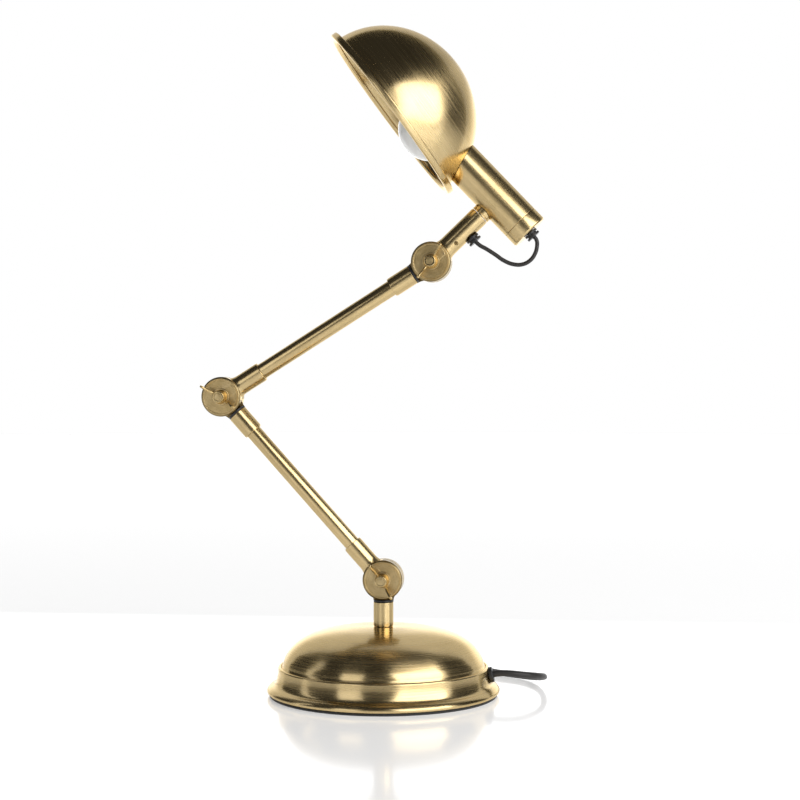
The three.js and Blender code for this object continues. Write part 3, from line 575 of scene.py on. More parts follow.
def distance_out(tree, place):
    """The distance from the pattern's Z axis."""
    flat = work_out_vector(tree, "MULTIPLY", {0: coordinates(tree, place), 1: (1, 1, 0)})
    return work_out_vector(tree, "LENGTH", {0: flat}, "Value")


def skin_bump(tree, height, strength, distance):
    return add_node(tree, "ShaderNodeBump", {
        "Height": height, "Strength": strength, "Distance": distance}).outputs["Normal"]


def brass_finish(name, place, marks, fineness, roughness, stretch, toning, broken=1.2, rings=()):
    """Lacquered brass, brushed round or along the place's Z axis; between each pair of radii in rings it is
    darkened as painted shade.
    """
    if name in bpy.data.materials:
        return bpy.data.materials[name]
    colours = bpy.context.scene.lamp_finishes
    place = Matrix.LocRotScale(place.to_translation(), place.to_quaternion(), None)
    drawn = marks == "Drawn Marks"
    material, shader = new_material(name)
    tree = material.node_tree
    brushing = pattern(tree, marks, place, Fineness=fineness, Broken=broken)
    tone = pattern(tree, "Antique Toning", place, Patches=28.0)
    bright = work_out(tree, "ADD", spread(tree, brushing["Marks"], 0.3, 0.7, 0.1, 0.4),
                      spread(tree, brushing["Bands"], 0.2, 0.8, 0.14, 0.3))
    lit = work_out(tree, "SUBTRACT", bright, work_out(tree, "MULTIPLY", tone["Cloud"], toning * 0.5))
    lit = work_out(tree, "ADD", lit, 0.25, clamp=True)
    metal = blended(tree, lit, colours.brass_dark, colours.brass_light)
    specks_and_painted_shade = work_out(tree, "MULTIPLY", tone["Specks"], toning * 0.6, clamp=True)
    # Painted shade: each pair of radii darkens the brass towards the second radius. This stands in for shade
    # and a dark reflection, not a tone of the metal.
    for unshaded_radius, dark in rings:
        painted_ring_shade = spread(tree, distance_out(tree, place), unshaded_radius, dark, 0.0, 0.8)
        specks_and_painted_shade = work_out(tree, "MAXIMUM", specks_and_painted_shade, painted_ring_shade)
    low, high = (0.02, 0.03) if drawn else (0.06, 0.07)
    rough = spread(tree, brushing["Marks"], 0.25, 0.75, roughness - low, roughness + high)
    # The base colour goes towards a deep brass where there are specks, which are real, and where the painted
    # shade of the rings falls.
    fill(shader, {
        "Base Color": blended(tree, specks_and_painted_shade, metal, [part * 0.4 for part in colours.brass_dark]),
        "Roughness": work_out(tree, "ADD", rough, work_out(tree, "MULTIPLY", tone["Cloud"], 0.05)),
        "Normal": skin_bump(tree, brushing["Marks"], 0.08 if drawn else 0.18, 0.00006),
        "Tangent": brushed_tangent(tree, place), "Anisotropic": stretch,
        "Anisotropic Rotation": 0.0 if drawn else 0.25,
        "Metallic": 1.0, "Specular Tint": (0.95, 0.84, 0.6, 1),
        "Coat Weight": 0.4, "Coat Roughness": 0.06, "Coat IOR": 1.5})
    return material


def moulded_finish(name, colour, roughness, grain=2500.0, depth=0.25, metallic=0.0, coat=0.0):
    """Moulded plastic, rubber, glass or plated steel, with a fine skin."""
    if name in bpy.data.materials:
        return bpy.data.materials[name]
    colour = getattr(bpy.context.scene.lamp_finishes, colour)
    worn = [min(1.0, part * 1.35 + 0.004) for part in colour]
    material, shader = new_material(name)
    tree = material.node_tree
    skin = pattern(tree, "Moulded Skin", Grain=grain)
    fill(shader, {
        "Base Color": blended(tree, skin["Wear"], colour, worn),
        "Roughness": spread(tree, skin["Wear"], 0.0, 1.0, roughness - 0.05, roughness + 0.08),
        "Normal": skin_bump(tree, skin["Height"], depth, 0.00008),
        "Metallic": metallic, "Coat Weight": coat, "Coat Roughness": 0.08})
    return material


def black_plastic():
    return moulded_finish("black_plastic", "black", 0.38)


def cord_sheath():
    return moulded_finish("cord_sheath", "sheath", 0.45, 1800.0, 0.3)


def soft_rubber():
    return moulded_finish("soft_rubber", "rubber", 0.62, 1500.0, 0.4)


def plated_steel():
    return moulded_finish("plated_steel", "steel", 0.3, 3000.0, 0.15, metallic=1.0)


# ---- Operators ----


class DESKLAMP_OT_mains_cord(Operator):
    """Lay the mains cord from the base through the switch into its coil and plug, with its tie"""
    bl_idname = "desklamp.mains_cord"
    bl_label = "Mains Cord"

    def execute(self, context):
        route = CORD_TO_SWITCH + CORD_TO_COIL + tuple(coil_route()) + CORD_TO_PLUG
        diameter = context.scene.lamp_sizes.cord_diameter
        cord = tube_piece("Mains_Cord", route, diameter, ROW, cord_sheath(), "root",
                          ("cord_from_base", "cord_to_coil", "cord_coil", "cord_to_plug"))
        self.make_gland()
        fittings = [self.make_tie()] + self.make_switch() + self.make_plug()
        return {"FINISHED"}

    def make_gland(self):
        shape = turned(eased([
            (2.9, -17.5), (3.7, -17.5, 0.3), (4.7, -2), (4.7, 0.6, 0.2), (6.7, 0.6, 0.4), (6.7, 3.5, 0.6),
            (5.9, 3.9, 0.4), (3.4, 3.9, 0.4), (2.9, 3.2),
        ]), 64)
        finished("base_gland", shape, ROW @ GLAND_WAY, black_plastic(), "root")

    def make_tie(self):
        shape = block((18.0, -4.0, 0.0), (43.75, 4.0, 13.3))
        soften(shape, 2.0, 4)
        window = soften(block((18.85, -6.0, 0.85), (42.9, 6.0, 12.55)), 1.4, 4)
        band = joined([shape], [window])
        return finished("coil_tie", band, ROW @ shift(COIL_CENTRE[0], COIL_CENTRE[1]), soft_rubber(),
                        "root")

    def make_switch(self):
        place = ROW @ shift(36, 114)
        plastic = moulded_finish("switch_plastic", "black", 0.24, 3200.0, 0.12)
        hole = placed(rod(2.9, -40, 40), ALONG_X @ shift(x=-6.5))
        lower = rounded_ends(block((-30, -11, 0), (30, 11, 7.3)), 30, 11, 5)
        lower = joined([soften(lower, 0.7, 3, 60)], [hole])
        hole = placed(rod(2.9, -40, 40), ALONG_X @ shift(x=-6.5))
        upper = rounded_ends(block((-30, -11, 7.6), (30, 11, 15)), 30, 11, 5)
        upper = soften(upper, 1.5, 4, 60)
        pocket = soften(block((-7.4, -4.8, 9.4), (7.4, 4.8, 17)), 0.5, 2)
        grips = [placed(rod(0.7, -12, 12, 20), shift(side * (15 + step * 2.6), 0, 15.2) @ turn(90, "X"))
                 for side in (-1, 1) for step in range(4)]
        upper = joined([upper], [hole, pocket] + grips)
        rocker = turned_rocker()
        return [
            finished("switch_base", lower, place, plastic, "root"),
            finished("switch_cover", upper, place, plastic, "root"),
            finished("switch_rocker", rocker, place @ shift(z=12.5) @ turn(-7, "Y"), plastic,
                     "rocker"),
        ]

    def make_plug(self):
        place = ROW @ shift(-27, 236, 6.85)
        plastic = moulded_finish("plug_plastic", "black", 0.4, 2200.0, 0.25)
        outline = [point.to_tuple() for point in eased([
            (18.5, -6.5, 1), (29, -12, 5), (42, -17.4, 6), (57, -17.4, 2.5), (57, 17.4, 2.5),
            (42, 17.4, 6), (29, 12, 5), (18.5, 6.5, 1)])]
        body = soften(plate(outline, -6.8, 6.8), 2.4, 5, 60)
        sleeve = placed(turned(eased([
            (2.85, 0), (3.5, 0, 0.3), (4.6, 12), (5.6, 19), (5.6, 24), (2.85, 24)]), 48), ALONG_X)
        slots = [placed(ring(3.3, 7, 3.0 + 3.4 * step, 4.4 + 3.4 * step, 0.2, 48), ALONG_X)
                 for step in range(5)]
        ridges = [placed(rod(0.8, -20, 20, 20), shift(45 + 2.6 * step, 0, side * 7.0) @ turn(90, "X"))
                  for step in range(4) for side in (-1, 1)]
        body = joined([body, sleeve], slots + ridges)
        pieces = [finished("plug_body", body, place, plastic, "root")]
        nickel = moulded_finish("plug_pin_metal", "nickel", 0.22, 3000.0, 0.1, metallic=1.0)
        for node, side in (("plug_pin_left", -9.5), ("plug_pin_right", 9.5)):
            pin = turned(eased([(0, 57.3), (2, 57.3), (2, 76, 1.6), (0, 76)]), 40)
            pieces.append(finished(node, pin, place @ shift(y=side) @ ALONG_X, nickel,
                                   "root"))
        return pieces


def rounded_ends(shape, half_length, half_width, radius):
    """Rounds the four upright corners of a block."""
    corners = [edge for edge in shape.edges
               if all(abs(abs(v.co.x) - half_length) < 0.9 and abs(abs(v.co.y) - half_width) < 0.9
                      for v in edge.verts) and abs(edge.verts[0].co.z - edge.verts[1].co.z) > 4]
    bmesh.ops.bevel(shape, geom=corners, offset=radius, segments=8, profile=0.5,
                    affect="EDGES", material=-1)
    return shape


def turned_rocker():
    """A rocker that dips in the middle, drawn across its pivot."""
    outline = [point.to_tuple() for point in eased([
        (-6.1, -1.5, 0.5), (6.1, -1.5, 0.5), (6.1, 3.2, 0.8), (3.2, 3.9, 2), (0, 3.1, 3), (-3.2, 3.9, 2),
        (-6.1, 3.2, 0.8)])]
    shape = placed(plate(outline, -4.3, 4.3), turn(90, "X"))
    return soften(shape, 0.3, 2, 60)


class DESKLAMP_OT_head_flex(Operator):
    """Hang the thin flex between the stem and the barrel's cap"""
    bl_idname = "desklamp.head_flex"
    bl_label = "Head Flex"

    def execute(self, context):
        diameter = context.scene.lamp_sizes.flex_diameter
        flex = tube_piece("Head_Flex", HEAD_FLEX_ROUTE, diameter, HEAD, cord_sheath(), "head",
                          ("head_flex",))
        return {"FINISHED"}


class DESKLAMP_OT_base(Operator):
    """Spin the domed brass base and its rubber pad"""
    bl_idname = "desklamp.base"
    bl_label = "Base"

    def execute(self, context):
        dome = flowing([(87.3, 26.5), (86.6, 29.4), (84.6, 33.8), (79.2, 41.3), (71, 47.8), (59, 53.1),
                        (42, 56.8), (20, 58.7), (5.3, 59)], 5)
        inner = [(5.3, 57.8), (41, 55.5), (70, 46.6), (83.0, 32.6), (85.9, 25.4), (89.2, 22.4),
                 (92.6, 9.3), (98.4, 7.2), (99.3, 4.7), (98.2, 2.3)]
        outer = eased([(99.3, 2.3, 0.6), (100.8, 3.4, 1.4), (100.8, 5.6, 1.8), (98.6, 8.0, 1.6),
                       (94.2, 9.8, 2.0), (92.6, 13.5), (91.2, 20), (91.2, 24.8, 1.4), (88.4, 25.2, 1.2)], 6)
        shape = turned(outer + list(dome) + [Vector(point) for point in inner], 180)
        shape = joined([shape], [placed(rod(5.1, -6, 6), GLAND_WAY)])
        brass = brass_finish("spun_brass_base", Matrix.Identity(4), "Turned Marks", 950.0, 0.22, 0.78, 0.35)
        finished("base_cover", shape, ROW, brass, "root", 30)
        pad = turned(eased([(0, 0), (98.6, 0, 0.5), (99, 2, 0.5), (0, 2)]), 128)
        finished("base_pad", pad, ROW, soft_rubber(), "root")
        return {"FINISHED"}


def knuckle_half(collar_radius, collar_end, bores, chamfer):
    """The half of a knuckle whose disc is on the -Y side and whose collar runs along +X."""
    disc = placed(turned(eased([
        (0, 0.8), (17.3, 0.8, 0.25), (17.3, 10 - chamfer, 0.5), (17.3 - chamfer, 10, 0.5), (15.0, 10, 0.3),
        (14.7, 9.75, 0.3), (0, 9.75)]), 112), ALONG_FRONT)
    flare = placed(turned([Vector(point) for point in (
        (0, 4), (10.6, 4), (10.6, 12.6), (10.3, 13.4), (9.85, 14.4), (9.4, 15.6), (9.0, 17.0),
        (collar_radius + 0.12, 18.6), (collar_radius, 20.2), (0, 20.8))], 96), ALONG_X)
    half_space(flare, (0, -9.93, 0), (0, -1, 0))
    half_space(flare, (0, -0.8, 0), (0, 1, 0))
    collar = placed(turned(eased([
        (0, 19.8), (collar_radius, 19.8, 0.3), (collar_radius, collar_end - 1.2),
        (collar_radius - 0.25, collar_end - 1.2), (collar_radius - 0.25, collar_end, 0.4),
        (0, collar_end)]), 96), ALONG_X)
    cable_way = placed(rod(2.4, 18.8, 27, 32), shift(y=3.9) @ ALONG_X)
    bolt_hole = placed(rod(3.4, -1, 12), ALONG_FRONT)
    return joined([disc, flare, collar], [cable_way, bolt_hole] + bores)


class DESKLAMP_OT_knuckles(Operator):
    """Cast the post and the knuckle halves at the ends of the arms"""
    bl_idname = "desklamp.knuckles"
    bl_label = "Knuckles"

    def execute(self, context):
        chamfer = context.scene.lamp_sizes.disc_chamfer / MM
        post_bore = placed(rod(5.3, 26, 44), ALONG_X)
        halves = (
            ("post_knuckle_half", POST @ REAR, "root", 40.6),
            ("lower_arm_lower_knuckle_half", LOWER_ARM, "lower_arm", 41.0),
            ("lower_arm_upper_knuckle_half", ELBOW @ REAR, "lower_arm", 41.0),
            ("upper_arm_lower_knuckle_half", UPPER_ARM, "upper_arm", 41.0),
            ("upper_arm_upper_knuckle_half", HEAD_KNUCKLE @ REAR, "upper_arm", 41.0),
        )
        for node, place, body, collar_end in halves:
            bore = post_bore if body == "root" else placed(rod(7.2, 26, 44, 64), ALONG_X)
            shape = knuckle_half(8.6, collar_end, [bore], chamfer)
            piece = finished(node, collar_faces(shape), place, knuckle_brass(node, place), body,
                             even=True)
            piece.data.materials.append(collar_brass(node, place))
        return {"FINISHED"}


def knuckle_brass(name, place):
    """Satin brass turned round a knuckle's own axis, with painted shade: a darker band at the disc's rim for
    the dark reflection in its chamfer, and darker brass round the wing nut's hub.
    """
    return brass_finish(f"disc_{name}", place @ ALONG_FRONT, "Turned Marks", 1100.0, 0.34, 0.3, 1.35, 2.0,
                        # The first radius pair paints shade darker towards the disc's rim; the second paints
                        # shade darker in towards the wing nut's hub.
                        rings=((0.0153, 0.0166), (0.0082, 0.0064)))


def collar_brass(name, place):
    """Brighter brass, turned round a collar's own axis."""
    return brass_finish(f"collar_{name}", place @ ALONG_X, "Drawn Marks", 1200.0, 0.2, 0.4, 0.7, 2.0)


def collar_faces(shape, start=13.0):
    """Gives the faces beyond the disc the second material."""
    for face in shape.faces:
        middle = face.calc_center_median()
        if middle.x > start and math.hypot(middle.x, middle.z) > 17.0:
            face.material_index = 1
    return shape


class DESKLAMP_OT_arm_tubes(Operator):
    """Draw the two arm tubes"""
    bl_idname = "desklamp.arm_tubes"
    bl_label = "Arm Tubes"

    def execute(self, context):
        for name, link, length in (("lower_arm", LOWER_ARM, LOWER_ARM_LENGTH),
                                   ("upper_arm", UPPER_ARM, UPPER_ARM_LENGTH)):
            place = link @ ALONG_X
            brass = brass_finish(f"drawn_brass_{name}", place, "Drawn Marks", 1300.0, 0.19, 0.5, 0.6)
            tube = ring(5.6, 6.85, 26.3, length - 26.3, 0.2, 96)
            finished(f"{name}_tube", tube, place, brass, name)
        return {"FINISHED"}


class DESKLAMP_OT_knuckle_fittings(Operator):
    """Turn the bolts, washers and bushes of the knuckles"""
    bl_idname = "desklamp.knuckle_fittings"
    bl_label = "Bolts, Washers and Bushes"

    def execute(self, context):
        for joint, place, body, _ in KNUCKLES:
            front = place @ ALONG_FRONT
            brass = brass_finish(f"turned_brass_{joint}", front, "Turned Marks", 1500.0, 0.3, 0.4, 0.8)
            bolt = turned(eased([
                (0, -13.2), (4.6, -13.2, 0.8), (6, -12.2, 0.5), (6, -10.3), (3, -10.3),
                (3, 21.65, 0.15), (0, 21.65)]), 64)
            slot = block((-7, -0.7, -14), (7, 0.7, -12.1))
            finished(f"{joint}_bolt", joined([bolt], [slot]), front, brass, body)
            washer = ring(3.4, 7.4, 10.3, 11.3, 0.3, 80)
            finished(f"{joint}_nut_washer", washer, front, brass, body)
            friction = ring(3.4, 13, -0.5, 0.5, 0.15, 80)
            fibre = moulded_finish("friction_fibre", "fibre", 0.7, 1200.0, 0.4)
            finished(f"{joint}_friction_washer", friction, front, fibre, body)
            # A black bush fills the ledge between the disc and the collar. Its black also stands for the
            # shade that falls in that gap, so it is partly painted shade.
            bush = placed(rounded_rod(8.3, 17.7, 19.5, 0.3, 72), ALONG_X)
            half_space(bush, (0, 1.1, 0), (0, -1, 0))
            hole = placed(rod(2.3, 16, 21, 32), shift(y=3.9) @ ALONG_X)
            finished(f"{joint}_ledge_bush", joined([bush], [hole]), place @ REAR, black_plastic(), body)
        return {"FINISHED"}


class DESKLAMP_OT_wing_nuts(Operator):
    """Shape the three wing nuts"""
    bl_idname = "desklamp.wing_nuts"
    bl_label = "Wing Nuts"

    def execute(self, context):
        half = context.scene.lamp_sizes.wing_thickness / MM / 2
        foot = 11.6
        for joint, knuckle, _, wing_turn in KNUCKLES:
            hub = placed(turned(eased([
                (3.06, foot, 0.2), (6.2, foot, 0.4), (6.2, foot + 1.4, 0.6), (5.6, foot + 2.6, 0.8),
                (5.0, foot + 10, 0.7), (3.06, foot + 10, 0.1)]), 72), ALONG_FRONT)
            shapes = [hub]
            for side in (1, -1):
                outline = [(side * x, y) for x, y in (point.to_tuple() for point in eased([
                    (3.9, -foot - 0.8), (8, -foot - 1.4, 2), (12, -foot - 3.4, 3), (15.6, -foot - 7, 3),
                    (18, -foot - 11, 2), (17.6, -foot - 13.6, 1.8), (15.4, -foot - 14.2, 1.6),
                    (11.6, -foot - 11.8, 3), (7.6, -foot - 8.2, 2), (3.9, -foot - 7.2)]))]
                shapes.append(soften(plate(outline, -half, half), 0.45, 3, 60))
            nut = joined(shapes)
            place = knuckle @ turn(wing_turn, "Y")
            brass = brass_finish(f"wing_nut_brass_{joint}", place @ ALONG_FRONT, "Turned Marks",
                                 1400.0, 0.2, 0.3, 1.5)
            finished(f"{joint}_wing_nut", nut, place, brass, f"{joint}_nut")
        return {"FINISHED"}


def double_flange(inner_length, through):
    """A black gland with two flanges, its seat at zero and the flex's way through it."""
    return turned(eased([
        (through, -inner_length), (3, -inner_length, 0.3), (3, 0.3), (6.2, 0.3, 0.3), (6.2, 2.1, 0.4),
        (4.6, 2.1, 0.2), (4.6, 3.3, 0.2), (6.2, 3.3, 0.4), (6.2, 5.2, 0.5), (through + 0.5, 5.2, 0.3),
        (through, 4.7)]), 64)


class DESKLAMP_OT_head(Operator):
    """Make the stem with its grub screw and gland, and the barrel with its cap, gland and saddle"""
    bl_idname = "desklamp.head"
    bl_label = "Head"

    def execute(self, context):
        self.make_stem(context.scene.lamp_sizes.disc_chamfer / MM)
        self.make_barrel()
        return {"FINISHED"}

    def make_stem(self, chamfer):
        bores = [
            placed(rod(5.4, 24, 44), ALONG_X),
            placed(rod(2.7, 43, 59), ALONG_X),
            placed(rod(3.5, 2, 10), shift(x=39.4) @ UPSIDE_DOWN),
            placed(rod(1.8, 2, 10), shift(26.5, 0, -3.8) @ ALONG_FRONT),
        ]
        stem = knuckle_half(8.75, 57.5, bores, chamfer)
        piece = finished("head_stem", collar_faces(stem), HEAD, knuckle_brass("head_stem", HEAD), "head",
                         even=True)
        piece.data.materials.append(collar_brass("head_stem", HEAD))
        screw = placed(rounded_rod(1.45, 4.6, 7.5, 0.2, 32), ALONG_FRONT)
        socket = placed(rod(0.8, 6.3, 8, 6), ALONG_FRONT)
        dull = moulded_finish("dull_brass", "dull_brass", 0.35, 3000.0, 0.15, metallic=1.0)
        finished("stem_grub_screw", joined([screw], [socket]), HEAD @ shift(26.5, 0, -3.8), dull,
                 "head")
        finished("stem_gland", double_flange(4.6, 1.85), HEAD @ shift(39.4, 0, -8.75) @ UPSIDE_DOWN,
                 black_plastic(), "head")

    def make_barrel(self):
        drawn = brass_finish("drawn_brass_barrel", BARREL, "Drawn Marks", 1100.0, 0.22, 0.5, 0.7)
        tube = turned(eased([(15.5, -28.6), (17, -28.6, 0.35), (17, 55), (15.5, 55)]), 128)
        hole = placed(rod(2.7, -30, -10), ALONG_X)
        cope = placed(dome_solid(0.25), SHADE_IN_BARREL)
        finished("barrel", joined([tube], [cope, hole]), BARREL, drawn, "head", even=True)
        cap = turned(eased([
            (3.5, -40.6, 0.2), (15.9, -40.6, 0.3), (17, -39.4, 0.4), (17, -28.9, 0.3), (15, -28.9),
            (15, -24.1), (13.8, -24.1), (13.8, -39), (3.5, -39)]), 128)
        finished("barrel_cap", cap, BARREL, drawn, "head")
        finished("cap_gland", double_flange(4.0, 1.85), BARREL @ shift(z=-40.6) @ UPSIDE_DOWN,
                 black_plastic(), "head")
        saddle = placed(turned(eased([
            (2.7, 57.8), (8.75, 57.8, 0.3), (8.75, 59.2, 0.1), (8.45, 59.4), (8.45, 59.8), (8.75, 60.0, 0.1),
            (8.75, BARREL_REACH), (2.7, BARREL_REACH)]), 96), ALONG_X)
        trim = placed(rod(17.3, -20, 20, 128), shift(x=BARREL_REACH))
        finished("barrel_saddle", joined([saddle], [trim]), HEAD, collar_brass("barrel_saddle", HEAD),
                 "head", even=True)


DOME_RADIUS = 78.5
DOME_DEPTH = 73.5
LIP_BAND = 5.8


def dome_line(offset, steps=40):
    """The dome's outline from its pole to the lip, moved out from the shade's outside."""
    start = math.asin(LIP_BAND / DOME_DEPTH)
    line = []
    for step in range(steps + 1):
        angle = math.pi / 2 - (step / steps) * (math.pi / 2 - start)
        radius = 0.0 if step == 0 else (DOME_RADIUS + offset) * math.cos(angle)
        line.append(Vector((radius, -(DOME_DEPTH + offset) * math.sin(angle))))
    return line


def dome_solid(offset):
    return turned(dome_line(offset) + [Vector((0, -LIP_BAND))], 160)


class DESKLAMP_OT_shade(Operator):
    """Spin the domed shade with its rolled lip, and the holder and ring inside it"""
    bl_idname = "desklamp.shade"
    bl_label = "Shade"

    def execute(self, context):
        roll = context.scene.lamp_sizes.lip_roll / MM
        lip = eased([
            (82.0, -LIP_BAND, 1.6), (84.5, -LIP_BAND, 1.3), (84.5, 0, roll), (80.2, 0, 1.0),
            (77.6, -1.6, 0.8), (77.2, -3.4, 0.8)], 7)
        inner = list(reversed(dome_line(-1.2)))
        shell = turned(dome_line(0.0) + lip + inner, 180)
        hole = placed(rod(14.2, 20, 75, 96), SHADE_IN_BARREL.inverted())
        spun = brass_finish("spun_brass_shade", SHADE, "Turned Marks", 900.0, 0.24, 0.75, 0.35)
        finished("shade", joined([shell], [hole]), SHADE, spun, "head", 30)

        holder = turned(eased([
            (0, 14), (12.4, 14, 0.5), (13.4, 15, 0.5), (13.4, 52, 0.8), (10.6, 52, 0.6), (10.6, 46, 0.4),
            (7.6, 46, 0.4), (7.6, 19.4), (0, 19.4)]), 96)
        plastic = moulded_finish("holder_plastic", "black", 0.45, 2400.0, 0.25)
        finished("lamp_holder", holder, BARREL, plastic, "head")

        collar = ring(13.9, 18.5, 25, 65, 0.3, 96)
        grips = [placed(rod(0.7, 24, 66, 16), turn(step * 15, "Z") @ shift(x=18.6)) for step in range(24)]
        outer = placed(dome_solid(-1.7), SHADE_IN_BARREL)
        inner = placed(dome_solid(-5.2), SHADE_IN_BARREL)
        shade_ring = joined([collar], grips + [inner], [outer])
        finished("shade_ring", shade_ring, BARREL, plastic, "head")
        return {"FINISHED"}


BULB_RADIUS = 27.5
BULB_MIDDLE = 83.7


class DESKLAMP_OT_bulb(Operator):
    """Blow the opal bulb and roll its screw cap"""
    bl_idname = "desklamp.bulb"
    bl_label = "Bulb"

    def execute(self, context):
        def outline(inset):
            neck = [(radius - inset, height) for radius, height in (
                (6.4, 44), (6.5, 46.5), (7.0, 50), (8.8, 54), (12.4, 58.4))]
            globe = []
            for step in range(1, 19):
                angle = math.radians(-56 + (146 * step / 18))
                radius = 0 if step == 18 else (BULB_RADIUS - inset) * math.cos(angle)
                globe.append((radius, BULB_MIDDLE + (BULB_RADIUS - inset) * math.sin(angle)))
            return [Vector(point) for point in flowing(neck, 4) + globe]

        glass = turned(outline(0) + list(reversed(outline(1.2))), 112)
        opal = moulded_finish("opal_glass", "opal", 0.16, 60.0, 0.02, coat=0.6)
        finished("bulb_glass", glass, BARREL, opal, "bulb", 60)
        thread = [(6.72 + 0.28 * math.cos(step * math.pi / 2.5), 27 + step * 0.42) for step in range(33)]
        cap = turned([Vector(point) for point in [(0, 21.4), (2.2, 21.5), (2.4, 23), (6.1, 25.2)] + thread
                      + [(7, 41.5), (6.9, 43.7), (0, 43.7)]], 72)
        finished("bulb_cap", cap, BARREL, plated_steel(), "bulb", 50)
        return {"FINISHED"}


class DESKLAMP_OT_inner_parts(Operator):
    """Finish the parts inside the base, the arms and the barrel"""
    bl_idname = "desklamp.inner_parts"
    bl_label = "Inner Parts"

    def execute(self, context):
        iron = moulded_finish("lacquered_iron", "iron", 0.6, 700.0, 0.6)
        finishes = {
            "base_weight": iron, "base_plate": plated_steel(), "post_nipple": plated_steel(),
            "nipple_washer": plated_steel(), "nipple_nut": plated_steel(), "barrel_screw": plated_steel(),
            "lower_arm_flex": cord_sheath(), "upper_arm_flex": cord_sheath(), "stem_flex": cord_sheath(),
            "barrel_flex": cord_sheath(),
        }
        for node, finish in finishes.items():
            mesh = frame["nodes"][node].data
            mesh.materials.clear()
            mesh.materials.append(finish)
        return {"FINISHED"}


class DESKLAMP_OT_studio(Operator):
    """Set up the pale floor, the soft lights and the camera"""
    bl_idname = "desklamp.studio"
    bl_label = "Studio"

    def execute(self, context):
        studio = context.scene.lamp_studio
        self.make_camera(context, studio)
        self.make_floor(studio)
        self.make_lights(studio)
        return {"FINISHED"}

    def make_camera(self, context, studio):
        lens = bpy.data.cameras.new("Studio_Camera")
        lens.lens = studio.focal_length
        lens.sensor_width = 36
        lens.clip_end = 50
        camera = loose_object("Studio_Camera", lens)
        camera.location = studio.camera_place
        camera.rotation_mode = "QUATERNION"
        camera.rotation_quaternion = Vector(studio.camera_aim).to_track_quat("-Z", "Y")
        context.scene.camera = camera

    def make_floor(self, studio):
        sheet = bmesh.new()
        bmesh.ops.create_circle(sheet, cap_ends=True, cap_tris=False, segments=96, radius=6.0)
        bmesh.ops.translate(sheet, vec=(0, 0, -0.0002), verts=sheet.verts[:])
        floor = loose_object("Floor", bpy.data.meshes.new("Floor"))
        sheet.to_mesh(floor.data)
        sheet.free()
        board, shader = new_material("floor_board")
        fill(shader, {"Base Color": (*studio.floor, 1), "Roughness": 0.12,
                      "Emission Color": (1, 1, 1, 1), "Emission Strength": 0.38})
        floor.data.materials.append(board)

    def make_lights(self, studio):
        middle = (0.0, 0.0, 0.25)
        lights = (
            ("Right_Light", (1.26, -1.12, 0.86), middle, (1.90, 1.45), studio.right_power),
            ("Left_Light", (-0.86, -1.52, 0.62), middle, (0.80, 1.00), studio.left_power),
            ("Left_Strip", (-1.24, -0.13, 0.55), middle, (0.22, 1.0), studio.strip_power),
            ("Right_Strip", (1.22, -0.26, 0.55), middle, (0.16, 1.0), studio.strip_power),
            ("Back_Card", (0.0, 0.46, 0.56), (0.0, 0.0, 0.56), (1.4, 1.08), studio.card_power),
        )
        for name, place, aim, size, power in lights:
            lamp = bpy.data.lights.new(name, "AREA")
            lamp.shape = "RECTANGLE"
            lamp.size, lamp.size_y = size
            lamp.energy = power
            light = loose_object(name, lamp)
            light.location = place
            light.rotation_mode = "QUATERNION"
            light.rotation_quaternion = (Vector(aim) - Vector(place)).to_track_quat("-Z", "Y")
            light.visible_camera = False
        world = bpy.data.worlds.new("Studio_World")
        world.use_nodes = True
        self.make_surround(world.node_tree)
        bpy.context.scene.world = world
        bpy.context.scene.view_settings.view_transform = "Standard"

    def make_surround(self, tree):
        """Pale low down behind the lamp and dim elsewhere; plain white where it is seen directly."""
        source = add_node(tree, "ShaderNodeTexCoord").outputs["Generated"]
        direction = add_node(tree, "ShaderNodeSeparateXYZ", {0: source}).outputs
        behind = work_out(tree, "MULTIPLY", spread(tree, direction[1], 0.75, 0.93),
                          spread(tree, direction[2], 0.4, 0.2))
        seen = add_node(tree, "ShaderNodeLightPath").outputs["Is Camera Ray"]
        around = work_out(tree, "MAXIMUM", behind, 0.035)
        fill(tree.nodes["Background"], {
            "Strength": work_out(tree, "MAXIMUM", around, seen), "Color": (1, 1, 1, 1)})


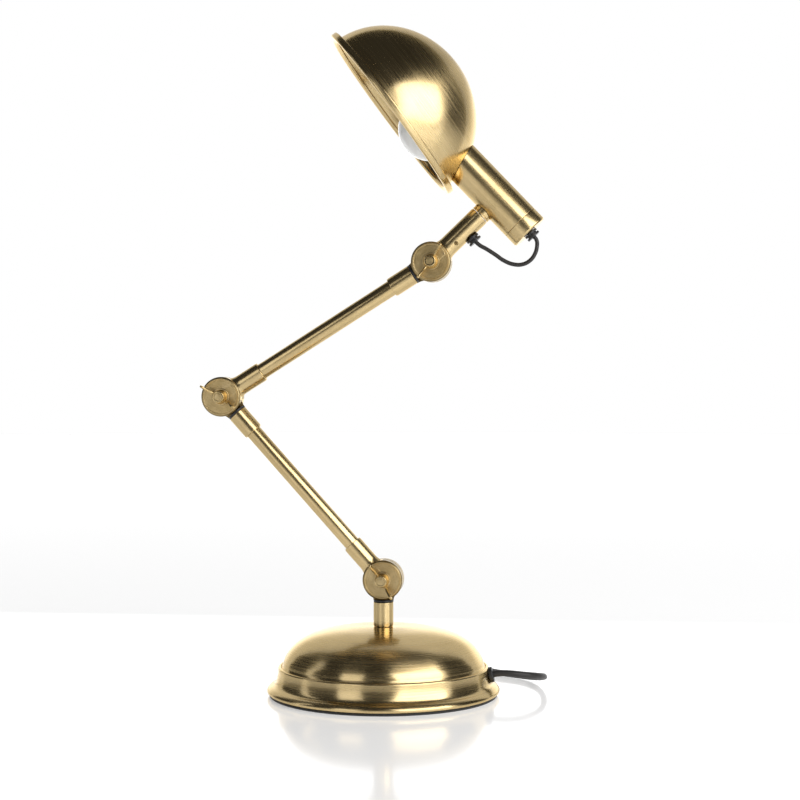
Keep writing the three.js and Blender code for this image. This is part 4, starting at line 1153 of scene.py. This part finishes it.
class DESKLAMP_PT_pieces(Panel):
    """Lists the lamp's pieces, sizes and colours"""
    bl_idname = "DESKLAMP_PT_pieces"
    bl_label = "Desk Lamp"
    bl_space_type = "VIEW_3D"
    bl_region_type = "UI"
    bl_category = "Desk Lamp"

    def draw(self, context):
        layout = self.layout
        for operator in OPERATORS:
            layout.operator(operator.bl_idname)
        for group in (context.scene.lamp_sizes, context.scene.lamp_finishes, context.scene.lamp_studio):
            box = layout.box()
            for name in group.__annotations__:
                box.prop(group, name)


OPERATORS = (
    DESKLAMP_OT_studio, DESKLAMP_OT_mains_cord, DESKLAMP_OT_head_flex, DESKLAMP_OT_base,
    DESKLAMP_OT_knuckles, DESKLAMP_OT_arm_tubes, DESKLAMP_OT_knuckle_fittings, DESKLAMP_OT_wing_nuts,
    DESKLAMP_OT_head, DESKLAMP_OT_shade, DESKLAMP_OT_bulb, DESKLAMP_OT_inner_parts,
)
CLASSES = (LampSizes, LampFinishes, StudioSettings) + OPERATORS + (DESKLAMP_PT_pieces,)


def register():
    for item in CLASSES:
        bpy.utils.register_class(item)
    bpy.types.Scene.lamp_sizes = PointerProperty(type=LampSizes)
    bpy.types.Scene.lamp_finishes = PointerProperty(type=LampFinishes)
    bpy.types.Scene.lamp_studio = PointerProperty(type=StudioSettings)


def unregister():
    del bpy.types.Scene.lamp_studio
    del bpy.types.Scene.lamp_finishes
    del bpy.types.Scene.lamp_sizes
    for item in reversed(CLASSES):
        bpy.utils.unregister_class(item)


def main():
    register()
    bpy.ops.desklamp.studio()
    bpy.ops.desklamp.mains_cord()
    bpy.ops.desklamp.head_flex()
    bpy.ops.desklamp.base()
    bpy.ops.desklamp.knuckles()
    bpy.ops.desklamp.arm_tubes()
    bpy.ops.desklamp.knuckle_fittings()
    bpy.ops.desklamp.wing_nuts()
    bpy.ops.desklamp.head()
    bpy.ops.desklamp.shade()
    bpy.ops.desklamp.bulb()
    bpy.ops.desklamp.inner_parts()


if __name__ == "__main__":
    main()
